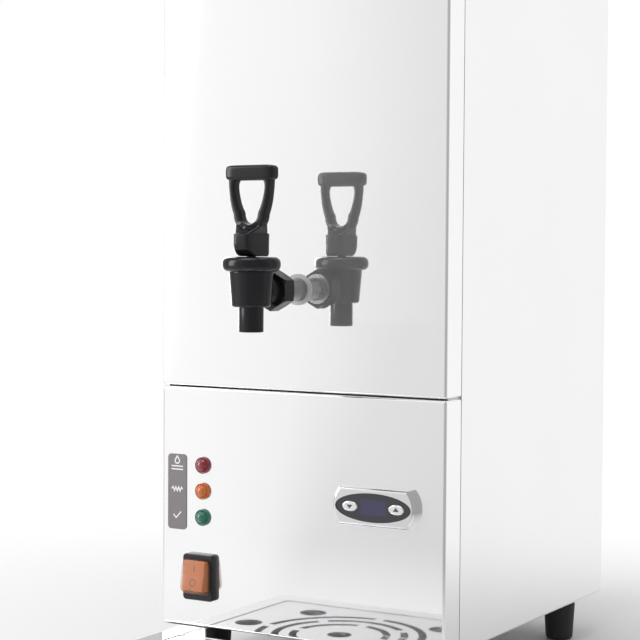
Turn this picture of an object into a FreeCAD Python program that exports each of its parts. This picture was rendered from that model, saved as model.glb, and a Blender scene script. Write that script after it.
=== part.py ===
import FreeCAD, Part
import math
import os

from FreeCAD import Placement, Rotation, Vector

# A counter-top hot water urn: a folded steel casing on four rubber feet, with an insulated tank on a shelf
# inside it, a black lever tap, a control panel of lamps, switch and display, and a drip tray in front.
# All sizes are millimetres. +Z is up, +X is to the right of someone who faces the urn, and the front
# faces -Y. The origin is on the counter, under the middle of the whole object's box.

# Overall sizes
BODY_W = 245.0
BODY_D = 300.0
BODY_TOP = 620.0
FOOT_H = 34.5
TRAY_D = 173.0

# Sheet metal
SHEET = 1.2
BEND_R = 2.0
RETURN_D = 23.8
SEAM = 1.0
FLANGE = 14.0
SPLIT_UP = 184.8
SPLIT_GAP = 1.0
COVER_H = 24.0
POST_FRONT = 6.0
POST_D = 44.0
POST_LEG = 8.0
CHASSIS_FLANGE = 20.0
SHELF_UP = 192.0
SHELF_FLANGE = 22.0
SHELF_HOLE_R = 72.0
NOTCH = 2.5
NOTCH_BACK = 5.0

# Slots in the rear panel
VENT_L = 44.0
VENT_H = 3.6
VENT_PITCH = 9.0
VENT_ROWS = 7
VENT_DROP = 20.0
VENT_SHARE = 0.35

# Screws
SCREW_R = 2.0
SCREW_HEAD_R = 4.0
SCREW_HEAD_H = 2.4
SCREW_L = 9.0
THREAD_GAP = 0.05
HEAD_GAP = 0.6
REAR_SCREW_ROWS = 4
REAR_SCREW_IN = 30.0
COVER_SCREW_SHARE = 0.65
BLADE_T = 0.8
BLADE_W = 6.0
BLADE_L = 8.0

# Feet
FOOT_IN = 20.0
FOOT_TOP_R = 13.25
FOOT_TIP_R = 11.25
FOOT_EDGE_R = 3.0
FOOT_FRONT = 45.0
FOOT_BACK = 45.0
FOOT_SCREW_R = 3.0
FOOT_SCREW_SINK = 9.0
FOOT_SCREW_HEAD_R = 5.4
FOOT_SCREW_HEAD_H = 4.0
FOOT_SCREW_END = 6.0
FOOT_NUT_FLATS = 10.0
FOOT_NUT_H = 5.0

# Tank
JACKET_GAP = 10.0
JACKET_T = 12.0
JACKET_DROP = 3.0
TANK_WALL = 1.2
TANK_FRONT_ROOM = 20.0
TANK_RIM = 9.0
LID_ROOM = 38.0
LID_T = 1.5
GASKET_T = 2.0
LID_SCREWS = 8
LID_SCREW_R = 2.5
LID_NUT_FLATS = 8.0
LID_NUT_H = 4.0
LID_HEAD_H = 3.5
LID_SCREW_END = 5.0
ELEMENT_R = 4.2
ELEMENT_UP = 34.0
ELEMENT_TAIL = 20.0
ELEMENT_LEG_X = 18.0
ELEMENT_LEG_BACK = 40.0
ELEMENT_LOOP = 56.0
ELEMENT_BEND = 16.0
BUSH_R = 7.0
BUSH_FLATS = 18.0
BUSH_DROP = 6.0
BUSH_RISE = 4.0
PROBE_R = 2.0
PROBE_BUSH_R = 5.0
PROBE_X = (-26.0, 0.0, 26.0)
PROBE_DEPTHS = (38.0, 70.0)
LOW_PROBE_UP = 86.3
PROBE_BUSH_DROP = 6.0
PROBE_BUSH_H = 6.0
PROBE_BUSH_LIP = 2.5
PROBE_NUT_FLATS = 7.0
PROBE_NUT_H = 3.0
PROBE_END = 7.0
SENSOR_R = 3.0
SENSOR_UP = 60.0
SENSOR_TAIL = 14.0
CUTOUT_R = 12.0
CUTOUT_H = 9.0

# Hoses
HOSE_R = 7.5
HOSE_BORE = 5.0
DRAIN_BORE = 6.0
HOSE_BEND = 18.0
HOSE_CORNER = 20.0
HOSE_ROOM = 7.0
SPIGOT_R = 4.95
SPIGOT_BORE = 3.8
SPIGOT_L = 16.0
ELBOW_L = 14.0
ELBOW_UP = 14.0
DRAIN_DROP = 36.0

# Rear fittings, at the bottom of the rear panel
INLET_X = -70.0
INLET_UP = 48.0
INLET_R = 13.2
INLET_THREAD_L = 16.0
INLET_BORE = 8.0
OVERFLOW_X = 72.0
OVERFLOW_UP = 40.0
OVERFLOW_R = 8.0
OVERFLOW_BORE = 5.5
OVERFLOW_L = 20.0
OVERFLOW_FLANGE_R = 12.0
OVERFLOW_FLANGE_T = 3.0
KNEE_HALF = 9.0
TAIL_L = 22.0
TAIL_WALL = 2.0
GLAND_UP = 34.0
GLAND_R = 8.0
GLAND_BORE = 4.2
GLAND_FLATS = 19.0
GLAND_L = 20.0
GLAND_FLANGE_T = 5.0
GLAND_NECK_R = 8.6
GLAND_NECK_L = 2.0
GLAND_CAP_L = 8.0
GLAND_TIP_R = 5.5
GLAND_TAIL = 9.0
GLAND_NUT_H = 5.0
INLET_NUT_FLATS = 34.4
OVERFLOW_NUT_FLATS = 23.0
FITTING_ROOM = 8.0
FITTING_SLOT = 40.0
NUT_H = 5.0
ROOT_STEP = 0.3
PLUNGER_R = 4.0
PLUNGER_L = 40.0
COIL_HALF = 11.0
COIL_L = 30.0
COIL_TUBE_L = 34.0
COIL_TUBE_R = 5.5
VALVE_FLANGE_T = 4.0
VALVE_FLANGE_R = 17.2
VALVE_HALF_H = 14.0
VALVE_LEFT = 16.0
VALVE_RIGHT = 14.0
VALVE_NECK = 2.0
SEAT_X = 4.0
PLUNGER_TRAVEL = 2.5
RUN_GAP = 0.05

# Tap. Heights are above the casing's bottom edge, and TAP_REACH is in front of the front panel.
TAP_REACH = 63.5
SHANK_UP = 260.6
SPOUT_TIP_UP = 231.6
SPOUT_TOP_UP = 249.8
CONE_TOP_UP = 273.5
BONNET_UP = 274.5
BONNET_H = 10.3
BONNET_R = 20.75
BONNET_EDGE_R = 2.4
SPOUT_R = 8.8
SPOUT_BORE = 6.2
CONE_R_LOW = 13.0
CONE_R_TOP = 16.6
CHAMBER_R = 12.0
SEAT_UP = 253.0
SEAT_H = 2.0
SEAT_R = 8.0
NECK_BORE = 5.5
COLLAR_T = 3.0
NUT_WALL = 1.7
NUT_FRONT = 39.5
NUT_BACK = 26.5
NUT_LIP = 2.5
SHANK_R = 8.5
SHANK_WALL = 3.0
SHANK_HEAD = 2.8
SHANK_INSIDE = 22.5
TAP_WASHER_W = 3.0
TAP_WASHER_T = 1.2
SHANK_NUT_H = 6.0
STUB_L = 14.0
COUPLING_T = 3.5
COUPLING_LAP = 12.0
HOLE_GAP = 0.5
FACE_GAP = 0.3

# Tap mechanism
STEM_R = 3.25
STEM_LIFT = 3.6
CUP_R = 8.0
CUP_H = 5.0
COLLAR_H = 1.5
SPRING_R = 5.4
SPRING_WIRE = 0.5
PIN_R = 1.5
PIN_UP = 9.0
CAM_W = 12.3
CAM_D = 29.7
CAM_TOP = 16.5
CAM_FRONT_R = 9.0
CAM_BACK_R = 3.0
HANDLE_GAP = 0.25
HANDLE_TILT = 35.0
HANDLE_H = 64.8
BAR_W = 40.4
BAR_D = 11.0
BAR_H = 11.2
BAR_EDGE_R = 3.5
STALK_D = 8.8
STALK_SHOULDER = 27.0
ARM_W = 4.4
LOOP_LOW = 22.5

# Lamps, and the plate of symbols beside them
LAMP_IN = 38.2
LAMP_UPS = (124.8, 104.9, 84.7)
LAMP_R = 6.5
LAMP_PROUD = 5.6
LAMP_RIM = 1.6
LAMP_STEM_R = 4.8
HOLDER_R = 6.6
HOLDER_L = 22.0
LAMP_STEM_L = 6.0
LAMP_BLADE_X = 3.5
LAMP_BLADE_W = 4.8
PLATE_IN = 14.3
PLATE_UP = 102.9
PLATE_W = 17.4
PLATE_H = 58.3
PLATE_R = 3.0
PLATE_T = 0.5

# Switch
SWITCH_IN = 36.5
SWITCH_UP = 38.75
SWITCH_LIP = 2.75
SWITCH_FRAME_R = 3.0
SWITCH_PROUD = 5.0
SWITCH_SIDE = 1.7
SWITCH_END = 3.7
SWITCH_BODY_L = 26.0
SWITCH_BLADE_PITCH = 9.0
SWITCH_FLOOR = 3.5
EYE_DEPTH = 0.9
STUB_OUT = 0.7
ROCKER_W = 18.6
ROCKER_H = 22.6
ROCKER_REACH = 13.2
ROCKER_TAIL = 3.0
ROCKER_DISH = 1.0
ROCKER_SIDE_GAP = 0.5
ROCKER_END_GAP = 1.6
ROCKER_REST = 10.0
PIVOT_BACK = 2.0
PIVOT_R = 1.5
BOOT_T = 0.8
BOOT_GAP = 0.45
BOOT_FOOT_SIDE = 1.95
BOOT_FOOT_END = 2.2
BOOT_EDGE_R = 2.4

# Display
DISPLAY_IN = 54.5
DISPLAY_UP = 105.0
BEZEL_W = 67.0
BEZEL_FLAT_W = 56.0
BEZEL_H = 28.0
BEZEL_PROUD = 7.5
BEZEL_EDGE_R = 2.2
LENS_W = 62.0
LENS_H = 21.0
LENS_SINK = 1.0
LENS_T = 2.0
CAVITY_W = 54.0
CAVITY_H = 17.0
BUTTON_X = 19.0
BUTTON_W = 12.5
BUTTON_H = 7.4
BUTTON_PROUD = 1.1
BUTTON_LIP = 0.6
BUTTON_LIP_T = 0.4
BUTTON_TRAVEL = 0.8
BUTTON_GAP = 0.15
HOUSING_L = 14.0
HOUSING_FLANGE = 4.0
HOUSING_FLANGE_T = 2.0
HOUSING_PLUG_L = 7.0
POST_X = 6.0
POST_W = 5.0

# Drip tray
TRAY_TOP = 27.0
TRAY_LIFT = 1.0
TRAY_CORNER_R = 14.0
TRAY_SHEET = 1.2
RIM_W = 19.0
LEDGE_W = 5.0
LEDGE_SINK = 2.5
TRAY_BACK_WALL = 1.5
WELL_FLOOR = 4.0
WELL_R = 6.0
GRILLE_T = 2.0
GRILLE_GAP = 0.3
GRILLE_CORNER_R = 4.0
GRILLE_CENTRE = 64.0
GRILLE_HOLE_R = 9.5
SLOT_RINGS = ((36.5, 0.0), (50.5, 45.0), (64.5, 0.0))
SLOT_W = 6.0
SLOT_BRIDGE = 8.0
FINGER_HOLE_R = 11.0
FINGER_HOLE_RING = 84.0
FINGER_HOLE_ANGLES = (0.0, 180.0, 225.0, 315.0)
TAB_W = 40.0
TAB_EDGE = 1.5
TAB_GAP = 0.3
LUG_D = 12.0
LUG_IN = 2.0
PAD_R = 7.0
PAD_SIDE = 18.0
PAD_END = 30.0

# Control gear in the dry space under the tank
BOARD_W = 90.0
BOARD_D = 84.0
BOARD_T = 1.6
BOARD_UP = 10.0
BOARD_X = 50.0
BOARD_BACK = 140.0
BOARD_CORNER = 5.0
RELAY_W = 30.0
RELAY_D = 22.0
RELAY_H = 22.0
PLUG_W = 10.0
PLUG_D = 14.0
PLUG_H = 12.0
PLUG_PITCH = 20.0
CAN_R = 5.0
CAN_H = 16.0
CAN_PITCH = 14.0
EDGE_ROOM = 12.0
STANDOFF_FLATS = 7.0
TRANSFORMER_W = 50.0
TRANSFORMER_D = 42.0
TRANSFORMER_H = 44.0
TERMINAL_W = 32.0
TERMINAL_D = 18.0
TERMINAL_H = 16.0
TERMINAL_IN = 51.0
TERMINAL_WELL_R = 3.0

# Places that follow from the sizes
REAR_REACH = max(OVERFLOW_L, GLAND_L)
FRONT = TRAY_D - (TRAY_D + BODY_D + REAR_REACH) / 2
REAR = FRONT + BODY_D
HALF_W = BODY_W / 2
INSIDE_X = HALF_W - SHEET
BOTTOM = FOOT_H
SPLIT_Z = BOTTOM + SPLIT_UP
COVER_Z = BODY_TOP - COVER_H
SIDE_FRONT = FRONT + RETURN_D + SEAM
SIDE_BACK = REAR - SHEET
CHASSIS_X = INSIDE_X - SHEET
FLOOR_Z = BOTTOM + 2 * SHEET
SHELF_Z = BOTTOM + SHELF_UP
POST_BACK = FRONT + POST_FRONT + POST_D
SHANK_BORE = SHANK_R - SHANK_WALL
SHANK_HEAD_R = SHANK_R + SHANK_HEAD
SHANK_END = FRONT + SHANK_INSIDE
COLLAR_R = SHANK_HEAD_R - 0.1
NECK_R = SHANK_HEAD_R - 1.3
NUT_FLATS = 2 * (SHANK_HEAD_R + NUT_WALL)
SHANK_NUT_FLATS = 2 * (SHANK_R + 5)
LAMP_X = -HALF_W + LAMP_IN
PLATE_X = -HALF_W + PLATE_IN
SWITCH_X = -HALF_W + SWITCH_IN
DISPLAY_X = HALF_W - DISPLAY_IN
SWITCH_BODY_W = ROCKER_W + 2 * SWITCH_SIDE
SWITCH_BODY_H = ROCKER_H + 2 * SWITCH_END
SWITCH_W = SWITCH_BODY_W + 2 * SWITCH_LIP
SWITCH_H = SWITCH_BODY_H + 2 * SWITCH_LIP
JACKET_R = min(
    CHASSIS_X - JACKET_GAP,
    (SIDE_BACK - SHEET - FRONT - RETURN_D - TANK_FRONT_ROOM - JACKET_GAP) / 2,
)
TANK_R = JACKET_R - JACKET_T
TANK_Y = FRONT + RETURN_D + TANK_FRONT_ROOM + JACKET_R
TANK_TOP = BODY_TOP - SHEET - LID_ROOM
LID_Z = TANK_TOP + GASKET_T
TAP_Y = FRONT - TAP_REACH
SHANK_Z = BOTTOM + SHANK_UP
BONNET_Z = BOTTOM + BONNET_UP
BONNET_TOP = BONNET_Z + BONNET_H
PIN_Z = BONNET_TOP + PIN_UP
TRAY_FRONT = FRONT - TRAY_D
GRILLE_X = HALF_W - RIM_W

X_AXIS = Vector(1, 0, 0)
Y_AXIS = Vector(0, 1, 0)
Z_AXIS = Vector(0, 0, 1)
SOLID = 200.0


def block(x0, x1, y0, y1, z0, z1):
    """A box from its two limits along each axis."""
    return Part.makeBox(x1 - x0, y1 - y0, z1 - z0, Vector(x0, y0, z0))


def slab(half_x, y0, y1, z0, z1):
    """A box that is centred across the urn."""
    return block(-half_x, half_x, y0, y1, z0, z1)


def rod(radius, x, y, z, length, axis=Z_AXIS):
    """A solid round rod that starts at a point and runs along an axis."""
    return Part.makeCylinder(radius, length, Vector(x, y, z), axis)


def ring(outer, inner, x, y, z, length, axis=Z_AXIS):
    """A round tube that starts at a point and runs along an axis."""
    return rod(outer, x, y, z, length, axis).cut(rod(inner, x, y, z, length, axis))


def hexagon(flats, x, y, z, length, axis=Z_AXIS):
    """A hexagonal prism whose flats face sideways, with its corners chamfered by a cone at each end."""
    corner_r = flats / 2 / math.cos(math.radians(30))
    turn = Rotation(Z_AXIS, axis)
    corners = [
        Vector(corner_r * math.cos(math.radians(60 * k + 30)), corner_r * math.sin(math.radians(60 * k + 30)), 0)
        for k in range(6)
    ]
    face = Part.Face(Part.makePolygon(corners + corners[:1]))
    prism = face.extrude(Vector(0, 0, length))
    chamfer = (corner_r - flats / 2) * math.tan(math.radians(30))
    barrel = [
        (0, 0), (flats / 2, 0), (corner_r, chamfer), (corner_r, length - chamfer), (flats / 2, length), (0, length)
    ]
    nut = prism.common(revolved(barrel, 0, 0))
    nut.Placement = Placement(Vector(x, y, z), turn)
    return nut


def edges_where(shape, test):
    """The edges of a shape whose middle and direction pass a test."""
    found = []
    for edge in shape.Edges:
        ends = [v.Point for v in edge.Vertexes]
        if len(ends) == 2 and edge.Curve.TypeId == "Part::GeomLine":
            if test(edge.CenterOfMass, (ends[1] - ends[0]).normalize()):
                found.append(edge)
    return found


def along(direction, axis):
    """Whether a direction runs along an axis, either way."""
    return abs(direction.dot(axis)) > 0.99


def near(a, b):
    """Whether two places are the same."""
    return abs(a - b) < 1e-4


def upright_rounded(x0, x1, y0, y1, z0, z1, radius):
    """A box with its four upright edges rounded."""
    body = block(x0, x1, y0, y1, z0, z1)
    return body.makeFillet(radius, edges_where(body, lambda c, d: along(d, Z_AXIS)))


def face_rounded(x0, x1, y0, y1, z0, z1, radius):
    """A box with the four edges that run front to back rounded."""
    body = block(x0, x1, y0, y1, z0, z1)
    return body.makeFillet(radius, edges_where(body, lambda c, d: along(d, Y_AXIS)))


def revolved(points, x, y):
    """A solid turned about an upright axis from closed (radius, z) points."""
    corners = [Vector(x + r, y, z) for r, z in points]
    face = Part.Face(Part.makePolygon(corners + corners[:1]))
    return face.revolve(Vector(x, y, 0), Z_AXIS, 360)


def ellipse_prism(half_x, half_z, x, y0, y1, z):
    """An elliptic prism along Y."""
    curve = Part.Ellipse(Vector(x, y0, z), half_x, half_z)
    wire = Part.Wire(curve.toShape())
    wire.rotate(Vector(x, y0, z), X_AXIS, 90)
    return Part.Face(wire).extrude(Vector(0, y1 - y0, 0))


def bent_path(points, bend):
    """A wire of straight runs joined by arcs of one radius at the inner points."""
    edges = []
    start = points[0]
    for before, corner, after in zip(points, points[1:], points[2:]):
        way_in = (corner - before).normalize()
        way_out = (after - corner).normalize()
        turn = way_in.getAngle(way_out)
        reach = bend * math.tan(turn / 2)
        arc_in = corner - way_in * reach
        arc_out = corner + way_out * reach
        centre = corner + (way_out - way_in).normalize() * (bend / math.cos(turn / 2))
        middle = centre + (corner - centre).normalize() * bend
        edges.append(Part.LineSegment(start, arc_in).toShape())
        edges.append(Part.Arc(arc_in, middle, arc_out).toShape())
        start = arc_out
    edges.append(Part.LineSegment(start, points[-1]).toShape())
    return Part.Wire(edges)


def pipe(points, bend, radius):
    """A solid round bar along a bent path."""
    path = bent_path(points, bend)
    start = points[0]
    way = (points[1] - points[0]).normalize()
    section = Part.Wire(Part.makeCircle(radius, start, way))
    return path.makePipeShell([section], True, False)


def fused(*shapes):
    """One solid from several that touch, with the joints between flat faces cleaned away."""
    return shapes[0].fuse(list(shapes[1:])).removeSplitter()


def mirrored(shape):
    """The same shape on the other side of the urn."""
    return shape.mirror(Vector(0, 0, 0), X_AXIS)


def group(*shapes):
    """Several separate solids that share one node."""
    return Part.makeCompound([s for shape in shapes for s in shape.Solids])


def front_pan(z0, z1):
    """A folded front panel: a face with four returns, notched behind its corners to clear the posts."""
    back = FRONT + RETURN_D
    body = slab(HALF_W, FRONT, back, z0, z1)
    rounded = edges_where(body, lambda c, d: near(c.y, FRONT) or along(d, Y_AXIS))
    body = body.makeFillet(BEND_R, rounded)
    inner = slab(INSIDE_X, FRONT + SHEET, back + 1, z0 + SHEET, z1 - SHEET)
    rounded = edges_where(inner, lambda c, d: near(c.y, FRONT + SHEET) or along(d, Y_AXIS))
    inner = inner.makeFillet(BEND_R - SHEET, rounded)
    body = body.cut(inner)
    for side in (-1, 1):
        x0, x1 = sorted((side * (INSIDE_X - NOTCH), side * INSIDE_X))
        body = body.cut(block(x0, x1, FRONT + NOTCH_BACK, back + 1, max(z0 - 1, BOTTOM + SHEET), z1 + 1))
    return body


def make_lower_front_panel():
    panel = front_pan(BOTTOM, SPLIT_Z - SPLIT_GAP / 2)
    for up in LAMP_UPS:
        panel = panel.cut(rod(LAMP_STEM_R + HOLE_GAP, LAMP_X, FRONT - 1, BOTTOM + up, SHEET + 2, Y_AXIS))
    cut_w = SWITCH_BODY_W / 2 + HOLE_GAP
    cut_h = SWITCH_BODY_H / 2 + HOLE_GAP
    switch_z = BOTTOM + SWITCH_UP
    panel = panel.cut(
        block(SWITCH_X - cut_w, SWITCH_X + cut_w, FRONT - 1, FRONT + 2, switch_z - cut_h, switch_z + cut_h)
    )
    cut_w = CAVITY_W / 2
    cut_h = CAVITY_H / 2
    display_z = BOTTOM + DISPLAY_UP
    return panel.cut(
        block(DISPLAY_X - cut_w, DISPLAY_X + cut_w, FRONT - 1, FRONT + 2, display_z - cut_h, display_z + cut_h)
    )


def make_upper_front_panel():
    panel = front_pan(SPLIT_Z + SPLIT_GAP / 2, COVER_Z)
    return panel.cut(rod(SHANK_R + HOLE_GAP, 0, FRONT - 1, SHANK_Z, SHEET + 2, Y_AXIS))


def make_side_panel():
    """The right-hand side: a sheet with flanges turned in at the back, the top and the bottom."""
    x0 = HALF_W - FLANGE
    body = block(x0, HALF_W, SIDE_FRONT, SIDE_BACK, BOTTOM, COVER_Z)
    rounded = edges_where(
        body,
        lambda c, d: (near(c.x, HALF_W) and not near(c.y, SIDE_FRONT))
        or (along(d, X_AXIS) and near(c.y, SIDE_BACK)),
    )
    body = body.makeFillet(BEND_R, rounded)
    inner = block(x0 - 1, INSIDE_X, SIDE_FRONT - 1, SIDE_BACK - SHEET, BOTTOM + SHEET, COVER_Z - SHEET)
    body = body.cut(inner)
    post = block(x0 - 1, INSIDE_X, SIDE_FRONT - 1, POST_BACK + SHEET, COVER_Z - SHEET - 1, COVER_Z + 1)
    return rear_thread_holes(body.cut(post))


def rear_screw_places():
    """Where the rear panel's screws stand: four down each edge."""
    low = BOTTOM + REAR_SCREW_IN
    pitch = (COVER_Z - REAR_SCREW_IN - low) / (REAR_SCREW_ROWS - 1)
    x = HALF_W - FLANGE / 2 - SHEET
    return [(side * x, low + row * pitch) for side in (-1, 1) for row in range(REAR_SCREW_ROWS)]


def cover_screw_places():
    """Where the two screws stand that hold the cover, across and up."""
    return [(side * HALF_W * COVER_SCREW_SHARE, COVER_Z + COVER_H / 2) for side in (-1, 1)]


def make_rear_panel():
    edge = BEND_R
    panel = face_rounded(-HALF_W + edge, HALF_W - edge, SIDE_BACK, REAR, BOTTOM + edge, COVER_Z - edge, edge)
    holes = [
        rod(INLET_R + HOLE_GAP, INLET_X, SIDE_BACK - 1, BOTTOM + INLET_UP, SHEET + 2, Y_AXIS),
        rod(OVERFLOW_R + HOLE_GAP, OVERFLOW_X, SIDE_BACK - 1, BOTTOM + OVERFLOW_UP, SHEET + 2, Y_AXIS),
        rod(GLAND_R + HOLE_GAP, 0, SIDE_BACK - 1, BOTTOM + GLAND_UP, SHEET + 2, Y_AXIS),
    ]
    for x, z in rear_screw_places():
        holes.append(rod(SCREW_R + THREAD_GAP, x, SIDE_BACK - 1, z, SHEET + 2, Y_AXIS))
    for x, z in vent_places():
        low, high = z - VENT_H / 2, z + VENT_H / 2
        holes.append(face_rounded(x - VENT_L / 2, x + VENT_L / 2, SIDE_BACK - 1, REAR + 1, low, high, VENT_H * 0.475))
    return panel.cut(holes)


def vent_places():
    """The middles of the rear panel's slots: two columns in each of two banks."""
    banks = [top - VENT_DROP - VENT_ROWS * VENT_PITCH for top in (SPLIT_Z, COVER_Z)]
    columns = [side * HALF_W * VENT_SHARE for side in (-1, 1)]
    return [(x, low + row * VENT_PITCH) for row in range(VENT_ROWS) for low in banks for x in columns]


def make_top_cover():
    """A closed cap whose hem is turned in and stands on the side panels' top flanges."""
    body = slab(HALF_W, FRONT, REAR, COVER_Z, BODY_TOP)
    body = body.makeFillet(BEND_R, body.Edges)
    inner = slab(INSIDE_X, FRONT + SHEET, REAR - SHEET, COVER_Z + SHEET, BODY_TOP - SHEET)
    body = body.cut(inner.makeFillet(BEND_R - SHEET, inner.Edges))
    hem = FLANGE - SHEET
    mouth = upright_rounded(
        -HALF_W + hem, HALF_W - hem, FRONT + hem, REAR - hem, COVER_Z - 1, COVER_Z + SHEET + 0.5, BEND_R
    )
    body = body.cut(mouth)
    return body.cut([rod(SCREW_R + THREAD_GAP, x, REAR - 3, z, 4, Y_AXIS) for x, z in cover_screw_places()])


def make_screw(x, y, z):
    """A pan-head screw whose head bears on a face at y and whose thread runs forwards."""
    head = Part.makeCylinder(SCREW_HEAD_R, SCREW_HEAD_H, Vector(x, y, z), Y_AXIS)
    rim = [e for e in head.Edges if near(e.CenterOfMass.y, y + SCREW_HEAD_H) and e.Curve.TypeId == "Part::GeomCircle"]
    head = head.makeFillet(SCREW_HEAD_H * 0.5, rim)
    slot = slab(SCREW_HEAD_R * 1.5, y + SCREW_HEAD_H - 1, y + SCREW_HEAD_H + 1, -0.5, 0.5)
    slot.translate(Vector(x, 0, z))
    return head.cut(slot).fuse(rod(SCREW_R, x, y - SCREW_L, z, SCREW_L, Y_AXIS))


def make_panel_screws():
    return group(*[make_screw(x, REAR, z) for x, z in rear_screw_places() + cover_screw_places()])


def rear_thread_holes(shape):
    """Cut the rear screws' threads out of a shape."""
    holes = [
        rod(SCREW_R + THREAD_GAP, x, SIDE_BACK - SCREW_L - 1, z, SCREW_L + 2, Y_AXIS) for x, z in rear_screw_places()
    ]
    return shape.cut(holes)


def make_front_posts():
    """Two upright angles that join each side panel to the front panels' returns."""
    web = block(CHASSIS_X, INSIDE_X, FRONT + POST_FRONT, POST_BACK, BOTTOM + SHEET, COVER_Z)
    leg = block(
        CHASSIS_X - POST_LEG, CHASSIS_X, POST_BACK - SHEET, POST_BACK, FLOOR_Z + CHASSIS_FLANGE + 2, COVER_Z
    )
    post = fused(web, leg)
    return group(post, mirrored(post))


def foot_places():
    """The four feet's centres."""
    return [(side * (HALF_W - FOOT_IN), y) for side in (-1, 1) for y in (FRONT + FOOT_FRONT, REAR - FOOT_BACK)]


def make_base_chassis():
    body = slab(CHASSIS_X, SIDE_FRONT, SIDE_BACK - SHEET, BOTTOM + SHEET, FLOOR_Z + CHASSIS_FLANGE)
    inner = slab(
        CHASSIS_X - SHEET, SIDE_FRONT + SHEET, SIDE_BACK - 2 * SHEET, FLOOR_Z, FLOOR_Z + CHASSIS_FLANGE + 1
    )
    body = body.cut(inner)
    holes = [rod(FOOT_SCREW_R + THREAD_GAP, x, y, BOTTOM - 1, 6) for x, y in foot_places()]
    fittings = ((INLET_X, INLET_UP, INLET_R), (OVERFLOW_X, OVERFLOW_UP, OVERFLOW_R), (0, GLAND_UP, GLAND_R))
    for x, up, radius in fittings:
        half = radius + FITTING_ROOM
        z = BOTTOM + up
        holes.append(rod(half, x, SIDE_BACK - 10, z, 11, Y_AXIS))
        holes.append(block(x - half, x + half, SIDE_BACK - 10, SIDE_BACK, z, z + FITTING_SLOT))
    body = body.cut(holes)
    return rear_thread_holes(body)


def make_rubber_feet():
    feet = []
    for x, y in foot_places():
        foot = Part.makeCone(FOOT_TIP_R, FOOT_TOP_R, FOOT_H, Vector(x, y, 0))
        tip = [e for e in foot.Edges if near(e.CenterOfMass.z, 0) and e.Curve.TypeId == "Part::GeomCircle"]
        foot = foot.makeFillet(FOOT_EDGE_R, tip)
        foot = foot.cut(rod(FOOT_SCREW_R + THREAD_GAP, x, y, -1, FOOT_H + 2))
        feet.append(foot.cut(rod(FOOT_SCREW_HEAD_R + HEAD_GAP, x, y, -1, FOOT_SCREW_SINK + 1)))
    return group(*feet)


def make_foot_screws():
    """A screw up through each foot, with its nut on the chassis floor."""
    parts = []
    length = FLOOR_Z + FOOT_SCREW_END - FOOT_SCREW_SINK
    for x, y in foot_places():
        head = rod(FOOT_SCREW_HEAD_R, x, y, FOOT_SCREW_SINK - FOOT_SCREW_HEAD_H, FOOT_SCREW_HEAD_H)
        parts.append(fused(head, rod(FOOT_SCREW_R, x, y, FOOT_SCREW_SINK, length)))
        nut = hexagon(FOOT_NUT_FLATS, x, y, FLOOR_Z, FOOT_NUT_H)
        parts.append(nut.cut(rod(FOOT_SCREW_R + THREAD_GAP, x, y, FLOOR_Z - 1, FOOT_NUT_H + 2)))
    return group(*parts)


def make_tank_shelf():
    front = POST_BACK + SHEET
    back = SIDE_BACK - SHEET - FACE_GAP
    body = slab(INSIDE_X, front, back, SHELF_Z - SHELF_FLANGE, SHELF_Z)
    body = body.cut(slab(INSIDE_X - SHEET, front + SHEET, back - SHEET, SHELF_Z - SHELF_FLANGE - 1, SHELF_Z - SHEET))
    body = body.cut(rod(SHELF_HOLE_R, 0, TANK_Y, SHELF_Z - 3, 6))
    for x in (FILL_X, DRAIN_X):
        body = body.cut(rod(HOSE_R + 2, x, HOSE_Y, SHELF_Z - 3, 6))
    return rear_thread_holes(body)


def element_points():
    """The corners of the heating element's loop, from one leg to the other."""
    leg_y = TANK_Y + ELEMENT_LEG_BACK
    low = SHELF_Z - ELEMENT_TAIL
    high = SHELF_Z + ELEMENT_UP
    half = [
        Vector(ELEMENT_LEG_X, leg_y, low),
        Vector(ELEMENT_LEG_X, leg_y, high),
        Vector(ELEMENT_LOOP, leg_y, high),
        Vector(ELEMENT_LOOP, TANK_Y - ELEMENT_LOOP, high),
    ]
    other = [Vector(-p.x, p.y, p.z) for p in reversed(half)]
    return half + other


def make_heating_element():
    return pipe(element_points(), ELEMENT_BEND, ELEMENT_R)


def make_element_bushes():
    """The threaded bush of each element leg, screwed up against the tank's floor, and the sensor's."""
    parts = []
    for x, y, bore in bush_places():
        low = SHELF_Z - BUSH_DROP
        length = BUSH_DROP + TANK_WALL + BUSH_RISE
        body = rod(BUSH_R, x, y, low, length)
        body = body.fuse(hexagon(BUSH_FLATS, x, y, low, BUSH_DROP - FACE_GAP / 3))
        parts.append(body.cut(rod(bore + THREAD_GAP, x, y, low - 1, length + 2)))
    return group(*parts)


def bush_places():
    """Each bush's x, y and bore."""
    leg_y = TANK_Y + ELEMENT_LEG_BACK
    legs = [(side * ELEMENT_LEG_X, leg_y, ELEMENT_R) for side in (-1, 1)]
    return legs + [(0, TANK_Y - ELEMENT_LEG_BACK, SENSOR_R)]


def make_temperature_probe():
    x, y, radius = bush_places()[2]
    body = rod(radius, x, y, SHELF_Z - SENSOR_TAIL, SENSOR_TAIL + SENSOR_UP)
    tip = [e for e in body.Edges if near(e.CenterOfMass.z, SHELF_Z + SENSOR_UP)]
    return body.makeFillet(radius * 0.8, tip)


def make_overheat_cutout():
    """A disc thermostat that bears on the tank's floor, with its two terminals."""
    disc = rod(CUTOUT_R, 0, TANK_Y, SHELF_Z - CUTOUT_H, CUTOUT_H)
    tabs = [
        block(
            x - BLADE_T / 2, x + BLADE_T / 2, TANK_Y - BLADE_W / 2, TANK_Y + BLADE_W / 2,
            SHELF_Z - CUTOUT_H - BLADE_L, SHELF_Z - CUTOUT_H,
        )
        for x in (-CUTOUT_R / 2, CUTOUT_R / 2)
    ]
    return fused(disc, *tabs)


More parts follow.
